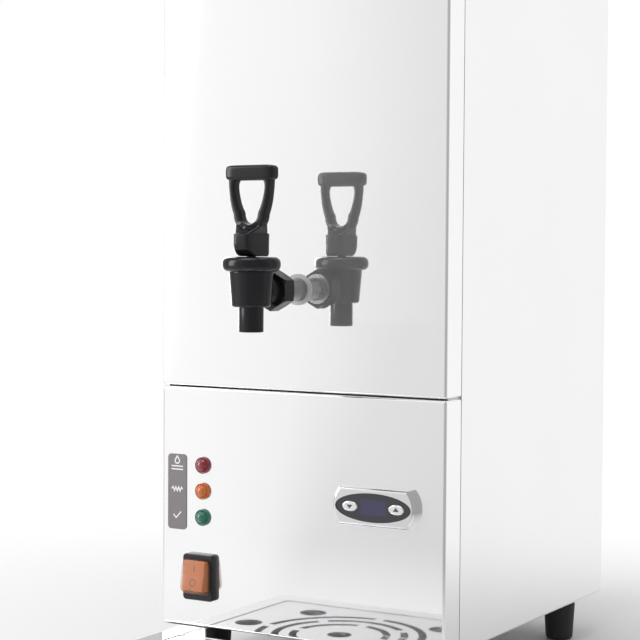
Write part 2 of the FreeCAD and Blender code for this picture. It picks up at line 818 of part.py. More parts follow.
def make_tank_shell():
    """The tank: floor, wall, rim, the outlet stub for the tap and the overflow stub near the top."""
    wall_in = TANK_R - TANK_WALL
    body = revolved(
        [
            (0, SHELF_Z), (TANK_R, SHELF_Z), (TANK_R, TANK_TOP - TANK_WALL), (TANK_R + TANK_RIM, TANK_TOP - TANK_WALL),
            (TANK_R + TANK_RIM, TANK_TOP), (wall_in, TANK_TOP), (wall_in, SHELF_Z + TANK_WALL),
            (0, SHELF_Z + TANK_WALL),
        ],
        0, TANK_Y,
    )
    stub_front = TANK_Y - TANK_R - STUB_L
    stub_l = STUB_L + TANK_WALL + 2
    body = body.fuse(rod(SHANK_R, 0, stub_front, SHANK_Z, stub_l, Y_AXIS))
    drain_l = HOSE_Y - HOSE_CORNER - DRAIN_JOIN
    body = body.fuse(rod(DRAIN_BORE - THREAD_GAP, DRAIN_X, DRAIN_JOIN, DRAIN_Z, drain_l, Y_AXIS))
    inside = rod(wall_in, 0, TANK_Y, SHELF_Z + TANK_WALL, TANK_TOP)
    body = body.cut(inside)
    holes = [
        rod(SHANK_BORE, 0, stub_front - 1, SHANK_Z, stub_l + 8, Y_AXIS),
        rod(SPIGOT_BORE, DRAIN_X, TANK_Y, DRAIN_Z, BODY_D, Y_AXIS),
    ]
    holes += [rod(BUSH_R + THREAD_GAP, x, y, SHELF_Z - 1, 4) for x, y, _ in bush_places()]
    holes += [rod(LID_SCREW_R + THREAD_GAP, x, y, TANK_TOP - 4, 8) for x, y in lid_screw_places()]
    return body.cut(holes)


def lid_screw_places():
    """The lid's screws, on a circle in the middle of the rim."""
    radius = TANK_R + TANK_RIM / 2
    step = 2 * math.pi / LID_SCREWS
    return [
        (radius * math.cos((k + 0.5) * step), TANK_Y + radius * math.sin((k + 0.5) * step)) for k in range(LID_SCREWS)
    ]


def make_lid_gasket():
    body = ring(TANK_R + TANK_RIM, TANK_R - 4, 0, TANK_Y, TANK_TOP, GASKET_T)
    return body.cut([rod(LID_SCREW_R + THREAD_GAP, x, y, TANK_TOP - 1, 6) for x, y in lid_screw_places()])


def make_tank_lid():
    """The lid, with an elbow on it that takes the fill hose."""
    body = rod(TANK_R + TANK_RIM, 0, TANK_Y, LID_Z, LID_T)
    elbow = pipe(elbow_points(), SPIGOT_R + 2, SPIGOT_R)
    body = body.fuse(elbow)
    holes = [rod(LID_SCREW_R + THREAD_GAP, x, y, LID_Z - 1, 6) for x, y in lid_screw_places()]
    holes += [rod(PROBE_BUSH_R + THREAD_GAP, x, TANK_Y, LID_Z - 1, 6) for x in PROBE_X]
    holes.append(pipe(elbow_points(overrun=2), SPIGOT_R + 2, SPIGOT_BORE))
    return body.cut(holes)


def elbow_points(overrun=0):
    """The elbow's corners: up out of the lid, then back towards the fill hose."""
    x = FILL_X
    y = HOSE_Y - HOSE_CORNER - SPIGOT_L - ELBOW_L
    return [
        Vector(x, y, LID_Z - overrun), Vector(x, y, FILL_TOP), Vector(x, HOSE_Y - HOSE_CORNER + 2 + overrun, FILL_TOP)
    ]


def make_lid_screws():
    parts = []
    for x, y in lid_screw_places():
        low = TANK_TOP - TANK_WALL - LID_SCREW_END
        shank = rod(LID_SCREW_R, x, y, low, LID_Z + LID_T - low)
        parts.append(fused(shank, hexagon(LID_NUT_FLATS, x, y, LID_Z + LID_T, LID_HEAD_H)))
        nut = hexagon(LID_NUT_FLATS, x, y, TANK_TOP - TANK_WALL - LID_NUT_H, LID_NUT_H)
        parts.append(nut.cut(rod(LID_SCREW_R + THREAD_GAP, x, y, low - 1, LID_SCREW_END + 3)))
    return group(*parts)


def make_tank_insulation():
    """A jacket round the tank's wall, below the lid's nuts, open where the two stubs pass."""
    top = TANK_TOP - TANK_WALL - LID_SCREW_END - JACKET_DROP
    body = ring(JACKET_R, TANK_R + FACE_GAP, 0, TANK_Y, SHELF_Z, top - SHELF_Z)
    holes = [
        rod(SHANK_R + COUPLING_T + 1, 0, TANK_Y - JACKET_R - 5, SHANK_Z, JACKET_R, Y_AXIS),
        rod(HOSE_R + 2, DRAIN_X, TANK_Y, DRAIN_Z, JACKET_R + 20, Y_AXIS),
    ]
    return body.cut(holes)


def make_level_probes():
    """Three rods that hang from the lid, each with a small nut on top."""
    rods = []
    top = LID_Z + LID_T + PROBE_BUSH_H
    ends = [LID_Z - depth for depth in PROBE_DEPTHS] + [SHELF_Z + LOW_PROBE_UP]
    for x, low in zip(PROBE_X, ends):
        shank = rod(PROBE_R, x, TANK_Y, low, top + PROBE_END - low)
        rods.append(fused(shank, hexagon(PROBE_NUT_FLATS, x, TANK_Y, top, PROBE_NUT_H)))
    return group(*rods)


def make_probe_insulators():
    bushes = []
    for x in PROBE_X:
        low = LID_Z - PROBE_BUSH_DROP
        body = rod(PROBE_BUSH_R, x, TANK_Y, low, PROBE_BUSH_DROP + LID_T)
        body = fused(body, rod(PROBE_BUSH_R + PROBE_BUSH_LIP, x, TANK_Y, LID_Z + LID_T, PROBE_BUSH_H))
        bushes.append(body.cut(rod(PROBE_R + THREAD_GAP, x, TANK_Y, low - 1, LID_Z + LID_T + PROBE_BUSH_H + 2 - low)))
    return group(*bushes)


def make_fill_hose():
    """The silicone hose from the inlet valve up behind the tank and over its lid."""
    points = [
        Vector(FILL_X, HOSE_Y, VALVE_TOP), Vector(FILL_X, HOSE_Y, FILL_TOP),
        Vector(FILL_X, HOSE_Y - HOSE_CORNER - SPIGOT_L + 2, FILL_TOP),
    ]
    return pipe(points, HOSE_BEND, HOSE_R).cut(pipe(points, HOSE_BEND, HOSE_BORE))


def make_overflow_hose():
    """The hose from the tank's overflow stub down to the fitting in the rear panel.

    It starts clear of the tank's round wall, which comes furthest back beside the hose's inner edge."""
    wall_y = TANK_Y + math.sqrt(TANK_R ** 2 - (DRAIN_X - HOSE_R) ** 2)
    start_y = max(HOSE_Y - HOSE_CORNER - 10, wall_y + 1)
    points = [
        Vector(DRAIN_X, start_y, DRAIN_Z), Vector(DRAIN_X, HOSE_Y, DRAIN_Z),
        Vector(DRAIN_X, HOSE_Y, BOTTOM + OVERFLOW_UP + KNEE_HALF + TAIL_L / 2),
    ]
    return pipe(points, HOSE_BEND, HOSE_R).cut(pipe(points, HOSE_BEND, DRAIN_BORE))


def make_inlet_valve():
    """The valve's body: a threaded inlet through the rear panel, a chamber, and a spigot up to the hose."""
    z = BOTTOM + INLET_UP
    back = SIDE_BACK - VALVE_FLANGE_T
    top = z + VALVE_HALF_H
    root = rod(INLET_R - ROOT_STEP, INLET_X, back, z, VALVE_FLANGE_T + SHEET + NUT_H + 1, Y_AXIS)
    thread = rod(INLET_R, INLET_X, REAR + NUT_H, z, INLET_THREAD_L - NUT_H, Y_AXIS)
    flange = rod(VALVE_FLANGE_R, INLET_X, back, z, VALVE_FLANGE_T, Y_AXIS)
    chamber = block(INLET_X - VALVE_LEFT, INLET_X + VALVE_RIGHT, back - VALVE_D, back, z - VALVE_HALF_H, top)
    spigot = rod(SPIGOT_R, FILL_X, HOSE_Y, top - 1, VALVE_TOP + SPIGOT_L - top + 1)
    coil_tube = rod(COIL_TUBE_R, INLET_X + VALVE_RIGHT, HOSE_Y, z, COIL_TUBE_L, X_AXIS)
    body = fused(root, thread, flange, chamber, spigot, coil_tube)
    holes = [
        rod(INLET_BORE, INLET_X, back - 2, z, SHEET + INLET_THREAD_L + 12, Y_AXIS),
        rod(SPIGOT_BORE, FILL_X, HOSE_Y, z, VALVE_TOP + SPIGOT_L, Z_AXIS),
        rod(PLUNGER_R + RUN_GAP, INLET_X - SEAT_X, HOSE_Y, z, VALVE_RIGHT + COIL_TUBE_L, X_AXIS),
    ]
    return body.cut(holes)


def make_valve_coil():
    z = BOTTOM + INLET_UP
    x0 = INLET_X + VALVE_RIGHT + FACE_GAP
    top = z + VALVE_HALF_H
    body = block(x0, x0 + COIL_L, HOSE_Y - COIL_HALF, HOSE_Y + COIL_HALF, z - VALVE_HALF_H, top)
    body = body.makeFillet(3, edges_where(body, lambda c, d: along(d, X_AXIS)))
    body = body.cut(rod(COIL_TUBE_R + RUN_GAP, x0 - 1, HOSE_Y, z, COIL_L + 3, X_AXIS))
    blades = []
    for side in (-1, 1):
        y = HOSE_Y + side * BLADE_W
        blade_x = x0 + COIL_L / 4
        blades.append(block(blade_x, blade_x + BLADE_T, y - BLADE_W / 2, y + BLADE_W / 2, top - 1, top + BLADE_L))
    return fused(body, *blades)


def make_valve_plunger():
    """The valve's iron plunger, which the coil draws inwards off its seat."""
    z = BOTTOM + INLET_UP
    return rod(PLUNGER_R, INLET_X - SEAT_X + 0.1, HOSE_Y, z, PLUNGER_L, X_AXIS)


def make_overflow_fitting():
    """A bulkhead elbow: a plain spigot out through the rear panel and a tail up to the hose."""
    z = BOTTOM + OVERFLOW_UP
    root = rod(OVERFLOW_R - ROOT_STEP, OVERFLOW_X, SIDE_BACK - 1, z, 1 + SHEET + NUT_H + 1, Y_AXIS)
    back = rod(OVERFLOW_R, OVERFLOW_X, REAR + NUT_H, z, OVERFLOW_L - NUT_H, Y_AXIS)
    inside = SIDE_BACK - OVERFLOW_FLANGE_T
    flange = rod(OVERFLOW_FLANGE_R, OVERFLOW_X, inside, z, OVERFLOW_FLANGE_T, Y_AXIS)
    knee = block(
        OVERFLOW_X - KNEE_HALF, OVERFLOW_X + KNEE_HALF, HOSE_Y - KNEE_HALF, inside, z - KNEE_HALF, z + KNEE_HALF
    )
    tail = rod(DRAIN_BORE - THREAD_GAP, DRAIN_X, HOSE_Y, z + KNEE_HALF, TAIL_L)
    body = fused(root, back, flange, knee, tail)
    holes = [
        rod(OVERFLOW_BORE, OVERFLOW_X, HOSE_Y, z, BODY_D, Y_AXIS),
        rod(DRAIN_BORE - TAIL_WALL, DRAIN_X, HOSE_Y, z, KNEE_HALF + TAIL_L + 1),
    ]
    return body.cut(holes)


def make_cable_gland():
    """A gland for a supply cable, with a domed cap outside; its thread passes through the rear panel."""
    z = BOTTOM + GLAND_UP
    thread = rod(GLAND_R, 0, SIDE_BACK - GLAND_TAIL, z, GLAND_TAIL + SHEET + 2, Y_AXIS)
    flange = hexagon(GLAND_FLATS, 0, REAR, z, GLAND_FLANGE_T, Y_AXIS)
    neck = rod(GLAND_NECK_R, 0, REAR + GLAND_FLANGE_T, z, GLAND_NECK_L, Y_AXIS)
    cap_y = REAR + GLAND_FLANGE_T + GLAND_NECK_L
    cap = hexagon(GLAND_FLATS, 0, cap_y, z, GLAND_CAP_L, Y_AXIS)
    dome_y = cap_y + GLAND_CAP_L
    dome = Part.makeCone(GLAND_R, GLAND_TIP_R, REAR + GLAND_L - dome_y, Vector(0, dome_y, z), Y_AXIS)
    body = fused(fused(thread, flange, neck, cap), dome)
    return body.cut(rod(GLAND_BORE, 0, SIDE_BACK - GLAND_TAIL - 1, z, BODY_D, Y_AXIS))


def make_lock_nuts():
    """The nuts that hold the three rear fittings against the rear panel."""
    nuts = []
    for x, up, radius, flats, start, length in (
        (0, GLAND_UP, GLAND_R, GLAND_FLATS, SIDE_BACK - GLAND_NUT_H, GLAND_NUT_H),
        (INLET_X, INLET_UP, INLET_R - ROOT_STEP, INLET_NUT_FLATS, REAR, NUT_H),
        (OVERFLOW_X, OVERFLOW_UP, OVERFLOW_R - ROOT_STEP, OVERFLOW_NUT_FLATS, REAR, NUT_H),
    ):
        nut = hexagon(flats, x, start, BOTTOM + up, length, Y_AXIS)
        nuts.append(nut.cut(rod(radius + THREAD_GAP, x, start - 1, BOTTOM + up, length + 2, Y_AXIS)))
    return group(*nuts)


def board_box():
    """The control board's limits across and along."""
    y = FRONT + BOARD_BACK
    return BOARD_X - BOARD_W / 2, BOARD_X + BOARD_W / 2, y - BOARD_D / 2, y + BOARD_D / 2


def make_control_board():
    """The board, with its relay, connectors and capacitors standing on it as separate blocks."""
    x0, x1, y0, y1 = board_box()
    z = FLOOR_Z + BOARD_UP
    top = z + BOARD_T
    sheet = upright_rounded(x0, x1, y0, y1, z, top, 2)
    sheet = sheet.cut([rod(SCREW_R, x, y, z - 1, 4) for x, y in standoff_places()])
    left, low = x0 + EDGE_ROOM, y0 + EDGE_ROOM
    relay = block(left, left + RELAY_W, low, low + RELAY_D, top, top + RELAY_H)
    right = x1 - EDGE_ROOM / 3
    plug_ys = [low + k * PLUG_PITCH for k in range(3)]
    plugs = [block(right - PLUG_W, right, y, y + PLUG_D, top, top + PLUG_H) for y in plug_ys]
    cans = [rod(CAN_R, left + CAN_R + k * CAN_PITCH, y1 - EDGE_ROOM, top, CAN_H) for k in range(3)]
    return group(sheet, relay, *plugs, *cans)


def standoff_places():
    """The board's four fixing points."""
    x0, x1, y0, y1 = board_box()
    inset = BOARD_CORNER
    return [(x, y) for x in (x0 + inset, x1 - inset) for y in (y0 + inset, y1 - inset)]


def make_board_standoffs():
    return group(*[hexagon(STANDOFF_FLATS, x, y, FLOOR_Z, BOARD_UP) for x, y in standoff_places()])


def make_transformer():
    x = -TRANSFORMER_W
    y = FRONT + BOARD_BACK
    bare = TRANSFORMER_H / 5.5
    core = block(
        x - TRANSFORMER_W / 2, x + TRANSFORMER_W / 2, y - TRANSFORMER_D / 4, y + TRANSFORMER_D / 4, FLOOR_Z,
        FLOOR_Z + TRANSFORMER_H,
    )
    bobbin = block(
        x - TRANSFORMER_W / 3, x + TRANSFORMER_W / 3, y - TRANSFORMER_D / 2, y + TRANSFORMER_D / 2, FLOOR_Z + bare,
        FLOOR_Z + TRANSFORMER_H - bare,
    )
    return fused(core, bobbin)


def make_terminal_block():
    y = SIDE_BACK - TERMINAL_IN
    pitch = TERMINAL_W / 3
    body = slab(TERMINAL_W / 2, y - TERMINAL_D / 2, y + TERMINAL_D / 2, FLOOR_Z, FLOOR_Z + TERMINAL_H)
    wells = [rod(TERMINAL_WELL_R, k * pitch, y, FLOOR_Z + TERMINAL_H / 2, TERMINAL_H) for k in (-1, 0, 1)]
    return body.cut(wells)


def make_tap_body():
    """The tap's one-piece casting: spout, tapering cup with its chamber and seat, and the neck to the nut."""
    z = BOTTOM
    spout = [(0, z + SPOUT_TIP_UP), (SPOUT_R, z + SPOUT_TIP_UP), (SPOUT_R, z + SPOUT_TOP_UP)]
    cup = [(CONE_R_LOW, z + SPOUT_TOP_UP), (CONE_R_TOP, z + CONE_TOP_UP), (0, z + CONE_TOP_UP)]
    body = revolved(spout + cup, 0, TAP_Y)
    round_edges = [
        e for e in body.Edges
        if e.Curve.TypeId == "Part::GeomCircle" and near(e.Curve.Radius, CONE_R_LOW)
    ]
    body = body.makeFillet(1.5, round_edges)
    neck_l = TAP_REACH - NUT_FRONT + COLLAR_T
    neck = rod(NECK_R, 0, TAP_Y, SHANK_Z, neck_l, Y_AXIS)
    collar = rod(COLLAR_R, 0, TAP_Y + neck_l, SHANK_Z, COLLAR_T, Y_AXIS)
    plug = rod(CHAMBER_R, 0, TAP_Y, z + SPOUT_TOP_UP + 1, CONE_TOP_UP - SPOUT_TOP_UP)
    body = fused(body, neck, collar)
    seat_top = z + SEAT_UP + SEAT_H
    chamber = plug.common(rod(CHAMBER_R, 0, TAP_Y, z + SEAT_UP, 40)).cut(
        ring(SEAT_R, SPOUT_BORE, 0, TAP_Y, z + SEAT_UP - 1, SEAT_H + 1)
    )
    chamber = chamber.common(rod(CHAMBER_R, 0, TAP_Y, z + SEAT_UP, BONNET_UP - SEAT_UP + 1))
    body = body.cut([
        chamber, rod(CHAMBER_R, 0, TAP_Y, seat_top, CONE_TOP_UP + z - seat_top + 1),
        rod(SPOUT_BORE, 0, TAP_Y, z + SPOUT_TIP_UP - 1, seat_top - z - SPOUT_TIP_UP + 1),
        rod(NECK_BORE, 0, TAP_Y + CHAMBER_R - 4, SHANK_Z + 0.5, TAP_REACH, Y_AXIS),
    ])
    return body


def make_tap_union_nut():
    length = NUT_FRONT - NUT_BACK
    body = hexagon(NUT_FLATS, 0, FRONT - NUT_FRONT, SHANK_Z, length, Y_AXIS)
    bore = rod(SHANK_HEAD_R + THREAD_GAP, 0, FRONT - NUT_FRONT + NUT_LIP, SHANK_Z, length, Y_AXIS)
    return body.cut([bore, rod(NECK_R + HOLE_GAP / 2, 0, FRONT - NUT_FRONT - 1, SHANK_Z, length, Y_AXIS)])


def make_tap_shank():
    """The threaded shank: a head inside the union nut, and a tube back through the panel to the coupling."""
    head_front = FRONT - NUT_FRONT + 2 * COLLAR_T + FACE_GAP / 3
    head = rod(SHANK_HEAD_R, 0, head_front, SHANK_Z, FRONT - NUT_BACK - head_front, Y_AXIS)
    tube = rod(SHANK_R, 0, head_front, SHANK_Z, SHANK_END - head_front, Y_AXIS)
    return fused(head, tube).cut(rod(SHANK_BORE, 0, head_front - 1, SHANK_Z, BODY_D, Y_AXIS))


def make_tap_washer():
    return ring(SHANK_R + TAP_WASHER_W, SHANK_R + THREAD_GAP, 0, FRONT - TAP_WASHER_T, SHANK_Z, TAP_WASHER_T, Y_AXIS)


def make_tap_shank_nut():
    body = hexagon(SHANK_NUT_FLATS, 0, FRONT + SHEET, SHANK_Z, SHANK_NUT_H, Y_AXIS)
    return body.cut(rod(SHANK_R + THREAD_GAP, 0, FRONT, SHANK_Z, SHANK_NUT_H + 3, Y_AXIS))


def make_tap_coupling():
    """A silicone sleeve that joins the shank to the tank's outlet stub."""
    start = SHANK_END - COUPLING_LAP
    stop = TANK_Y - TANK_R - 2
    return ring(SHANK_R + COUPLING_T, SHANK_R + THREAD_GAP, 0, start, SHANK_Z, stop - start, Y_AXIS)


def make_tap_bonnet():
    """The bonnet disc, with a skirt that screws into the cup and a bore that guides the stem."""
    disc = rod(BONNET_R, 0, TAP_Y, BONNET_Z, BONNET_H)
    edges = [e for e in disc.Edges if e.Curve.TypeId == "Part::GeomCircle"]
    disc = disc.makeFillet(BONNET_EDGE_R, edges)
    skirt_low = BOTTOM + CONE_TOP_UP - 6
    skirt = rod(CHAMBER_R - THREAD_GAP, 0, TAP_Y, skirt_low, BONNET_Z - skirt_low + 2)
    collar = rod(CONE_R_TOP, 0, TAP_Y, BOTTOM + CONE_TOP_UP, BONNET_Z - BOTTOM - CONE_TOP_UP + 1)
    body = fused(disc, skirt, collar)
    well = rod(SPRING_R + SPRING_WIRE + 0.6, 0, TAP_Y, skirt_low - 1, SPRING_TOP - skirt_low + 1)
    return body.cut([well, rod(STEM_R + RUN_GAP, 0, TAP_Y, skirt_low, 40)])


def make_tap_stem():
    """The stem: a rod with a spring collar low down and a cross hole for the handle's pin at the top."""
    low = BOTTOM + SEAT_UP + SEAT_H + CUP_H - 2
    body = rod(STEM_R, 0, TAP_Y, low, PIN_Z + STEM_R - low)
    body = fused(body, rod(SPRING_R + SPRING_WIRE, 0, TAP_Y, SPRING_LOW - COLLAR_H, COLLAR_H))
    top = [e for e in body.Edges if near(e.CenterOfMass.z, PIN_Z + STEM_R) and e.Curve.TypeId == "Part::GeomCircle"]
    body = body.makeFillet(STEM_R * 0.6, top)
    return body.cut(rod(PIN_R, -STEM_R - 1, TAP_Y, PIN_Z, 2 * STEM_R + 2, X_AXIS))


def make_seat_cup():
    """The silicone cup that closes the seat."""
    z = BOTTOM + SEAT_UP + SEAT_H
    body = rod(CUP_R, 0, TAP_Y, z, CUP_H)
    return body.cut(rod(STEM_R, 0, TAP_Y, z + CUP_H - 2, 4))


def make_handle_pin():
    return rod(PIN_R, -CAM_W / 2 + 0.4, TAP_Y, PIN_Z, CAM_W - 0.8, X_AXIS)


def make_tap_spring():
    """The space that the closing spring fills round the stem, between its collar and the bonnet."""
    outer = SPRING_R + SPRING_WIRE
    inner = SPRING_R - SPRING_WIRE
    return ring(outer, inner, 0, TAP_Y, SPRING_LOW, SPRING_TOP - SPRING_LOW)


def spline_edge(points):
    """A smooth edge through (a, b) points, in the plane x = a, z = b."""
    curve = Part.BSplineCurve()
    curve.interpolate([Vector(a, 0, b) for a, b in points])
    return curve.toShape()


def line_edge(a, b):
    """A straight edge between two (a, b) points, in the plane x = a, z = b."""
    return Part.LineSegment(Vector(a[0], 0, a[1]), Vector(b[0], 0, b[1])).toShape()


def handle_flare():
    """Half the handle's width at heights above its foot, from the cam up to the bar."""
    return [
        (CAM_W / 2, CAM_TOP), (CAM_W / 2 + 2.1, CAM_TOP + 5.6), (12.2, STALK_SHOULDER - 1), (15.0, 35.0),
        (16.6, 48.0), (17.2, HANDLE_H - BAR_H),
    ]


def make_tap_handle():
    """The lever: a cam that stands on the bonnet, a stalk that flares into two arms, and a bar across them.

    It is drawn about the pin's axis in x and about the bonnet's top in z, then put in place."""
    flare = handle_flare()
    left = [(-a, b) for a, b in reversed(flare)]
    low = HANDLE_GAP
    front = Part.Face(Part.Wire([
        line_edge((-CAM_W / 2, low), (CAM_W / 2, low)), line_edge((CAM_W / 2, low), flare[0]), spline_edge(flare),
        line_edge(flare[-1], left[0]), spline_edge(left), line_edge(left[-1], (-CAM_W / 2, low)),
    ])).extrude(Vector(0, SOLID, 0))
    front.translate(Vector(0, -SOLID / 2, 0))
    half = CAM_D / 2
    top = HANDLE_H - 1
    stalk = STALK_D / 2
    reach = half - CAM_FRONT_R
    sin45 = math.sin(math.radians(45))
    front_arc = Part.Arc(
        Vector(0, -half, low + CAM_FRONT_R),
        Vector(0, -reach - CAM_FRONT_R * sin45, low + CAM_FRONT_R * (1 - sin45)), Vector(0, -reach, low),
    ).toShape()
    back_arc = Part.Arc(
        Vector(0, half - CAM_BACK_R, low),
        Vector(0, half - CAM_BACK_R * (1 - sin45), low + CAM_BACK_R * (1 - sin45)),
        Vector(0, half, low + CAM_BACK_R),
    ).toShape()
    corners = [
        Vector(0, half, low + CAM_BACK_R), Vector(0, half, CAM_TOP - 1.5), Vector(0, half - 1.5, CAM_TOP),
        Vector(0, half - 4, CAM_TOP + 0.3), Vector(0, stalk + 1.6, STALK_SHOULDER - 4),
        Vector(0, stalk, STALK_SHOULDER), Vector(0, stalk, top), Vector(0, -stalk, top),
        Vector(0, -stalk, STALK_SHOULDER), Vector(0, -stalk - 1.6, STALK_SHOULDER - 4),
        Vector(0, -half + 4, CAM_TOP + 0.3), Vector(0, -half + 1.5, CAM_TOP), Vector(0, -half, CAM_TOP - 1.5),
        Vector(0, -half, low + CAM_FRONT_R),
    ]
    sides = [Part.LineSegment(a, b).toShape() for a, b in zip(corners, corners[1:])]
    foot = Part.LineSegment(Vector(0, -reach, low), Vector(0, half - CAM_BACK_R, low)).toShape()
    side = Part.Face(Part.Wire(Part.__sortEdges__([front_arc, foot, back_arc] + sides)))
    side = side.extrude(Vector(SOLID, 0, 0))
    side.translate(Vector(-SOLID / 2, 0, 0))
    lever = front.common(side)
    loop_right = [(a - ARM_W, b) for a, b in flare[2:]]
    loop_left = [(-a, b) for a, b in reversed(loop_right)]
    floor_arc = Part.Arc(
        Vector(loop_left[-1][0], 0, loop_left[-1][1]), Vector(0, 0, LOOP_LOW),
        Vector(loop_right[0][0], 0, loop_right[0][1]),
    ).toShape()
    hole = Part.Face(Part.Wire([
        spline_edge(loop_right), line_edge(loop_right[-1], loop_left[0]), spline_edge(loop_left), floor_arc,
    ])).extrude(Vector(0, SOLID, 0))
    hole.translate(Vector(0, -SOLID / 2, 0))
    bar = slab(BAR_W / 2, -BAR_D / 2, BAR_D / 2, HANDLE_H - BAR_H, HANDLE_H)
    bar = bar.makeFillet(BAR_EDGE_R, bar.Edges)
    lever = lever.cut(hole).fuse(bar)
    swing = 2 * PIN_UP * math.tan(math.radians(HANDLE_TILT))
    slot_half = STEM_R + 0.4
    clear_r = STEM_R + 1.2
    wedge = Part.Face(Part.makePolygon([
        Vector(0, slot_half, -1), Vector(0, slot_half, PIN_UP), Vector(0, -slot_half, PIN_UP + 2),
        Vector(0, -slot_half - swing / 2 - 1, -1), Vector(0, slot_half, -1),
    ])).extrude(Vector(2 * slot_half, 0, 0))
    wedge.translate(Vector(-slot_half, 0, 0))
    lever = lever.cut([
        wedge, Part.makeCylinder(clear_r, 2 * slot_half, Vector(-slot_half, 0, PIN_UP), X_AXIS),
        Part.makeCylinder(PIN_R + RUN_GAP, SOLID, Vector(-SOLID / 2, 0, PIN_UP), X_AXIS),
    ])
    lever.translate(Vector(0, TAP_Y, BONNET_TOP))
    return lever


def make_lamp_lens(up):
    """A domed lens with a rim that bears on the panel and a stem that reaches into the holder."""
    z = BOTTOM + up
    dome_r = (LAMP_R ** 2 + (LAMP_PROUD - LAMP_RIM) ** 2) / (2 * (LAMP_PROUD - LAMP_RIM))
    dome = Part.makeSphere(dome_r, Vector(LAMP_X, FRONT - LAMP_PROUD + dome_r, z))
    dome = dome.common(rod(LAMP_R, LAMP_X, FRONT - LAMP_PROUD - 1, z, LAMP_PROUD + 1, Y_AXIS))
    return dome.fuse(rod(LAMP_STEM_R, LAMP_X, FRONT - 0.1, z, LAMP_STEM_L + 0.1, Y_AXIS))


def make_lamp_holders():
    """The holder behind each lamp, clipped against the back of the panel, with two blades."""
    parts = []
    for up in LAMP_UPS:
        z = BOTTOM + up
        body = rod(HOLDER_R, LAMP_X, FRONT + SHEET, z, HOLDER_L - SHEET, Y_AXIS)
        body = body.cut(rod(LAMP_STEM_R + THREAD_GAP, LAMP_X, FRONT, z, LAMP_STEM_L + 1, Y_AXIS))
        blades = [
            centred_block(x, z, BLADE_T / 2, LAMP_BLADE_W / 2, FRONT + HOLDER_L, FRONT + HOLDER_L + BLADE_L)
            for x in (LAMP_X - LAMP_BLADE_X, LAMP_X + LAMP_BLADE_X)
        ]
        parts.append(fused(body, *blades))
    return group(*parts)


def make_label_plate():
    z = BOTTOM + PLATE_UP
    return face_rounded(
        PLATE_X - PLATE_W / 2, PLATE_X + PLATE_W / 2, FRONT - PLATE_T, FRONT, z - PLATE_H / 2, z + PLATE_H / 2,
        PLATE_R,
    )


def centred_block(x, z, half_x, half_z, y0, y1):
    """A box about a point on the front panel."""
    return block(x - half_x, x + half_x, y0, y1, z - half_z, z + half_z)


def make_switch_body():
    """The switch's frame and the housing behind it, with an eye on each side for the rocker's stubs."""
    z = BOTTOM + SWITCH_UP
    frame = face_rounded(
        SWITCH_X - SWITCH_W / 2, SWITCH_X + SWITCH_W / 2, FRONT - SWITCH_PROUD, FRONT, z - SWITCH_H / 2,
        z + SWITCH_H / 2, SWITCH_FRAME_R,
    )
    front = edges_where(frame, lambda c, d: near(c.y, FRONT - SWITCH_PROUD))
    frame = frame.makeFillet(1.0, front)
    back = FRONT + SWITCH_BODY_L
    housing = centred_block(SWITCH_X, z, SWITCH_BODY_W / 2, SWITCH_BODY_H / 2, FRONT, back)
    open_x = ROCKER_W / 2 + ROCKER_SIDE_GAP
    open_z = ROCKER_H / 2 + ROCKER_END_GAP
    deep = FRONT + PIVOT_BACK + ROCKER_TAIL + SWITCH_FLOOR
    mouth = centred_block(SWITCH_X, z, open_x, open_z, FRONT - SWITCH_PROUD - 1, deep)
    eyes = rod(PIVOT_R + RUN_GAP, SWITCH_X - open_x - EYE_DEPTH, FRONT + PIVOT_BACK, z, 2 * (open_x + EYE_DEPTH), X_AXIS)
    blades = [
        centred_block(SWITCH_X, z + k * SWITCH_BLADE_PITCH, BLADE_W / 2, BLADE_T / 2, back, back + BLADE_L)
        for k in (-1, 0, 1)
    ]
    return fused(frame, housing, *blades).cut([mouth, eyes])


def make_switch_rocker():
    """The rocker: a dished front between two stubs, drawn level and then tipped to its resting side."""
    pivot_y = FRONT + PIVOT_BACK
    z = BOTTOM + SWITCH_UP
    half = ROCKER_H / 2
    face_y = pivot_y - ROCKER_REACH
    back_y = pivot_y + ROCKER_TAIL
    profile = [
        Vector(0, face_y, z - half), Vector(0, face_y + ROCKER_DISH, z), Vector(0, face_y, z + half),
        Vector(0, back_y - 1, z + half), Vector(0, back_y, z), Vector(0, back_y - 1, z - half),
        Vector(0, face_y, z - half),
    ]
    body = Part.Face(Part.makePolygon(profile)).extrude(Vector(ROCKER_W, 0, 0))
    body.translate(Vector(SWITCH_X - ROCKER_W / 2, 0, 0))
    stub_l = ROCKER_W + 2 * (ROCKER_SIDE_GAP + STUB_OUT)
    body = body.fuse(rod(PIVOT_R, SWITCH_X - stub_l / 2, pivot_y, z, stub_l, X_AXIS))
    body.rotate(Vector(SWITCH_X, pivot_y, z), X_AXIS, -ROCKER_REST)
    return body


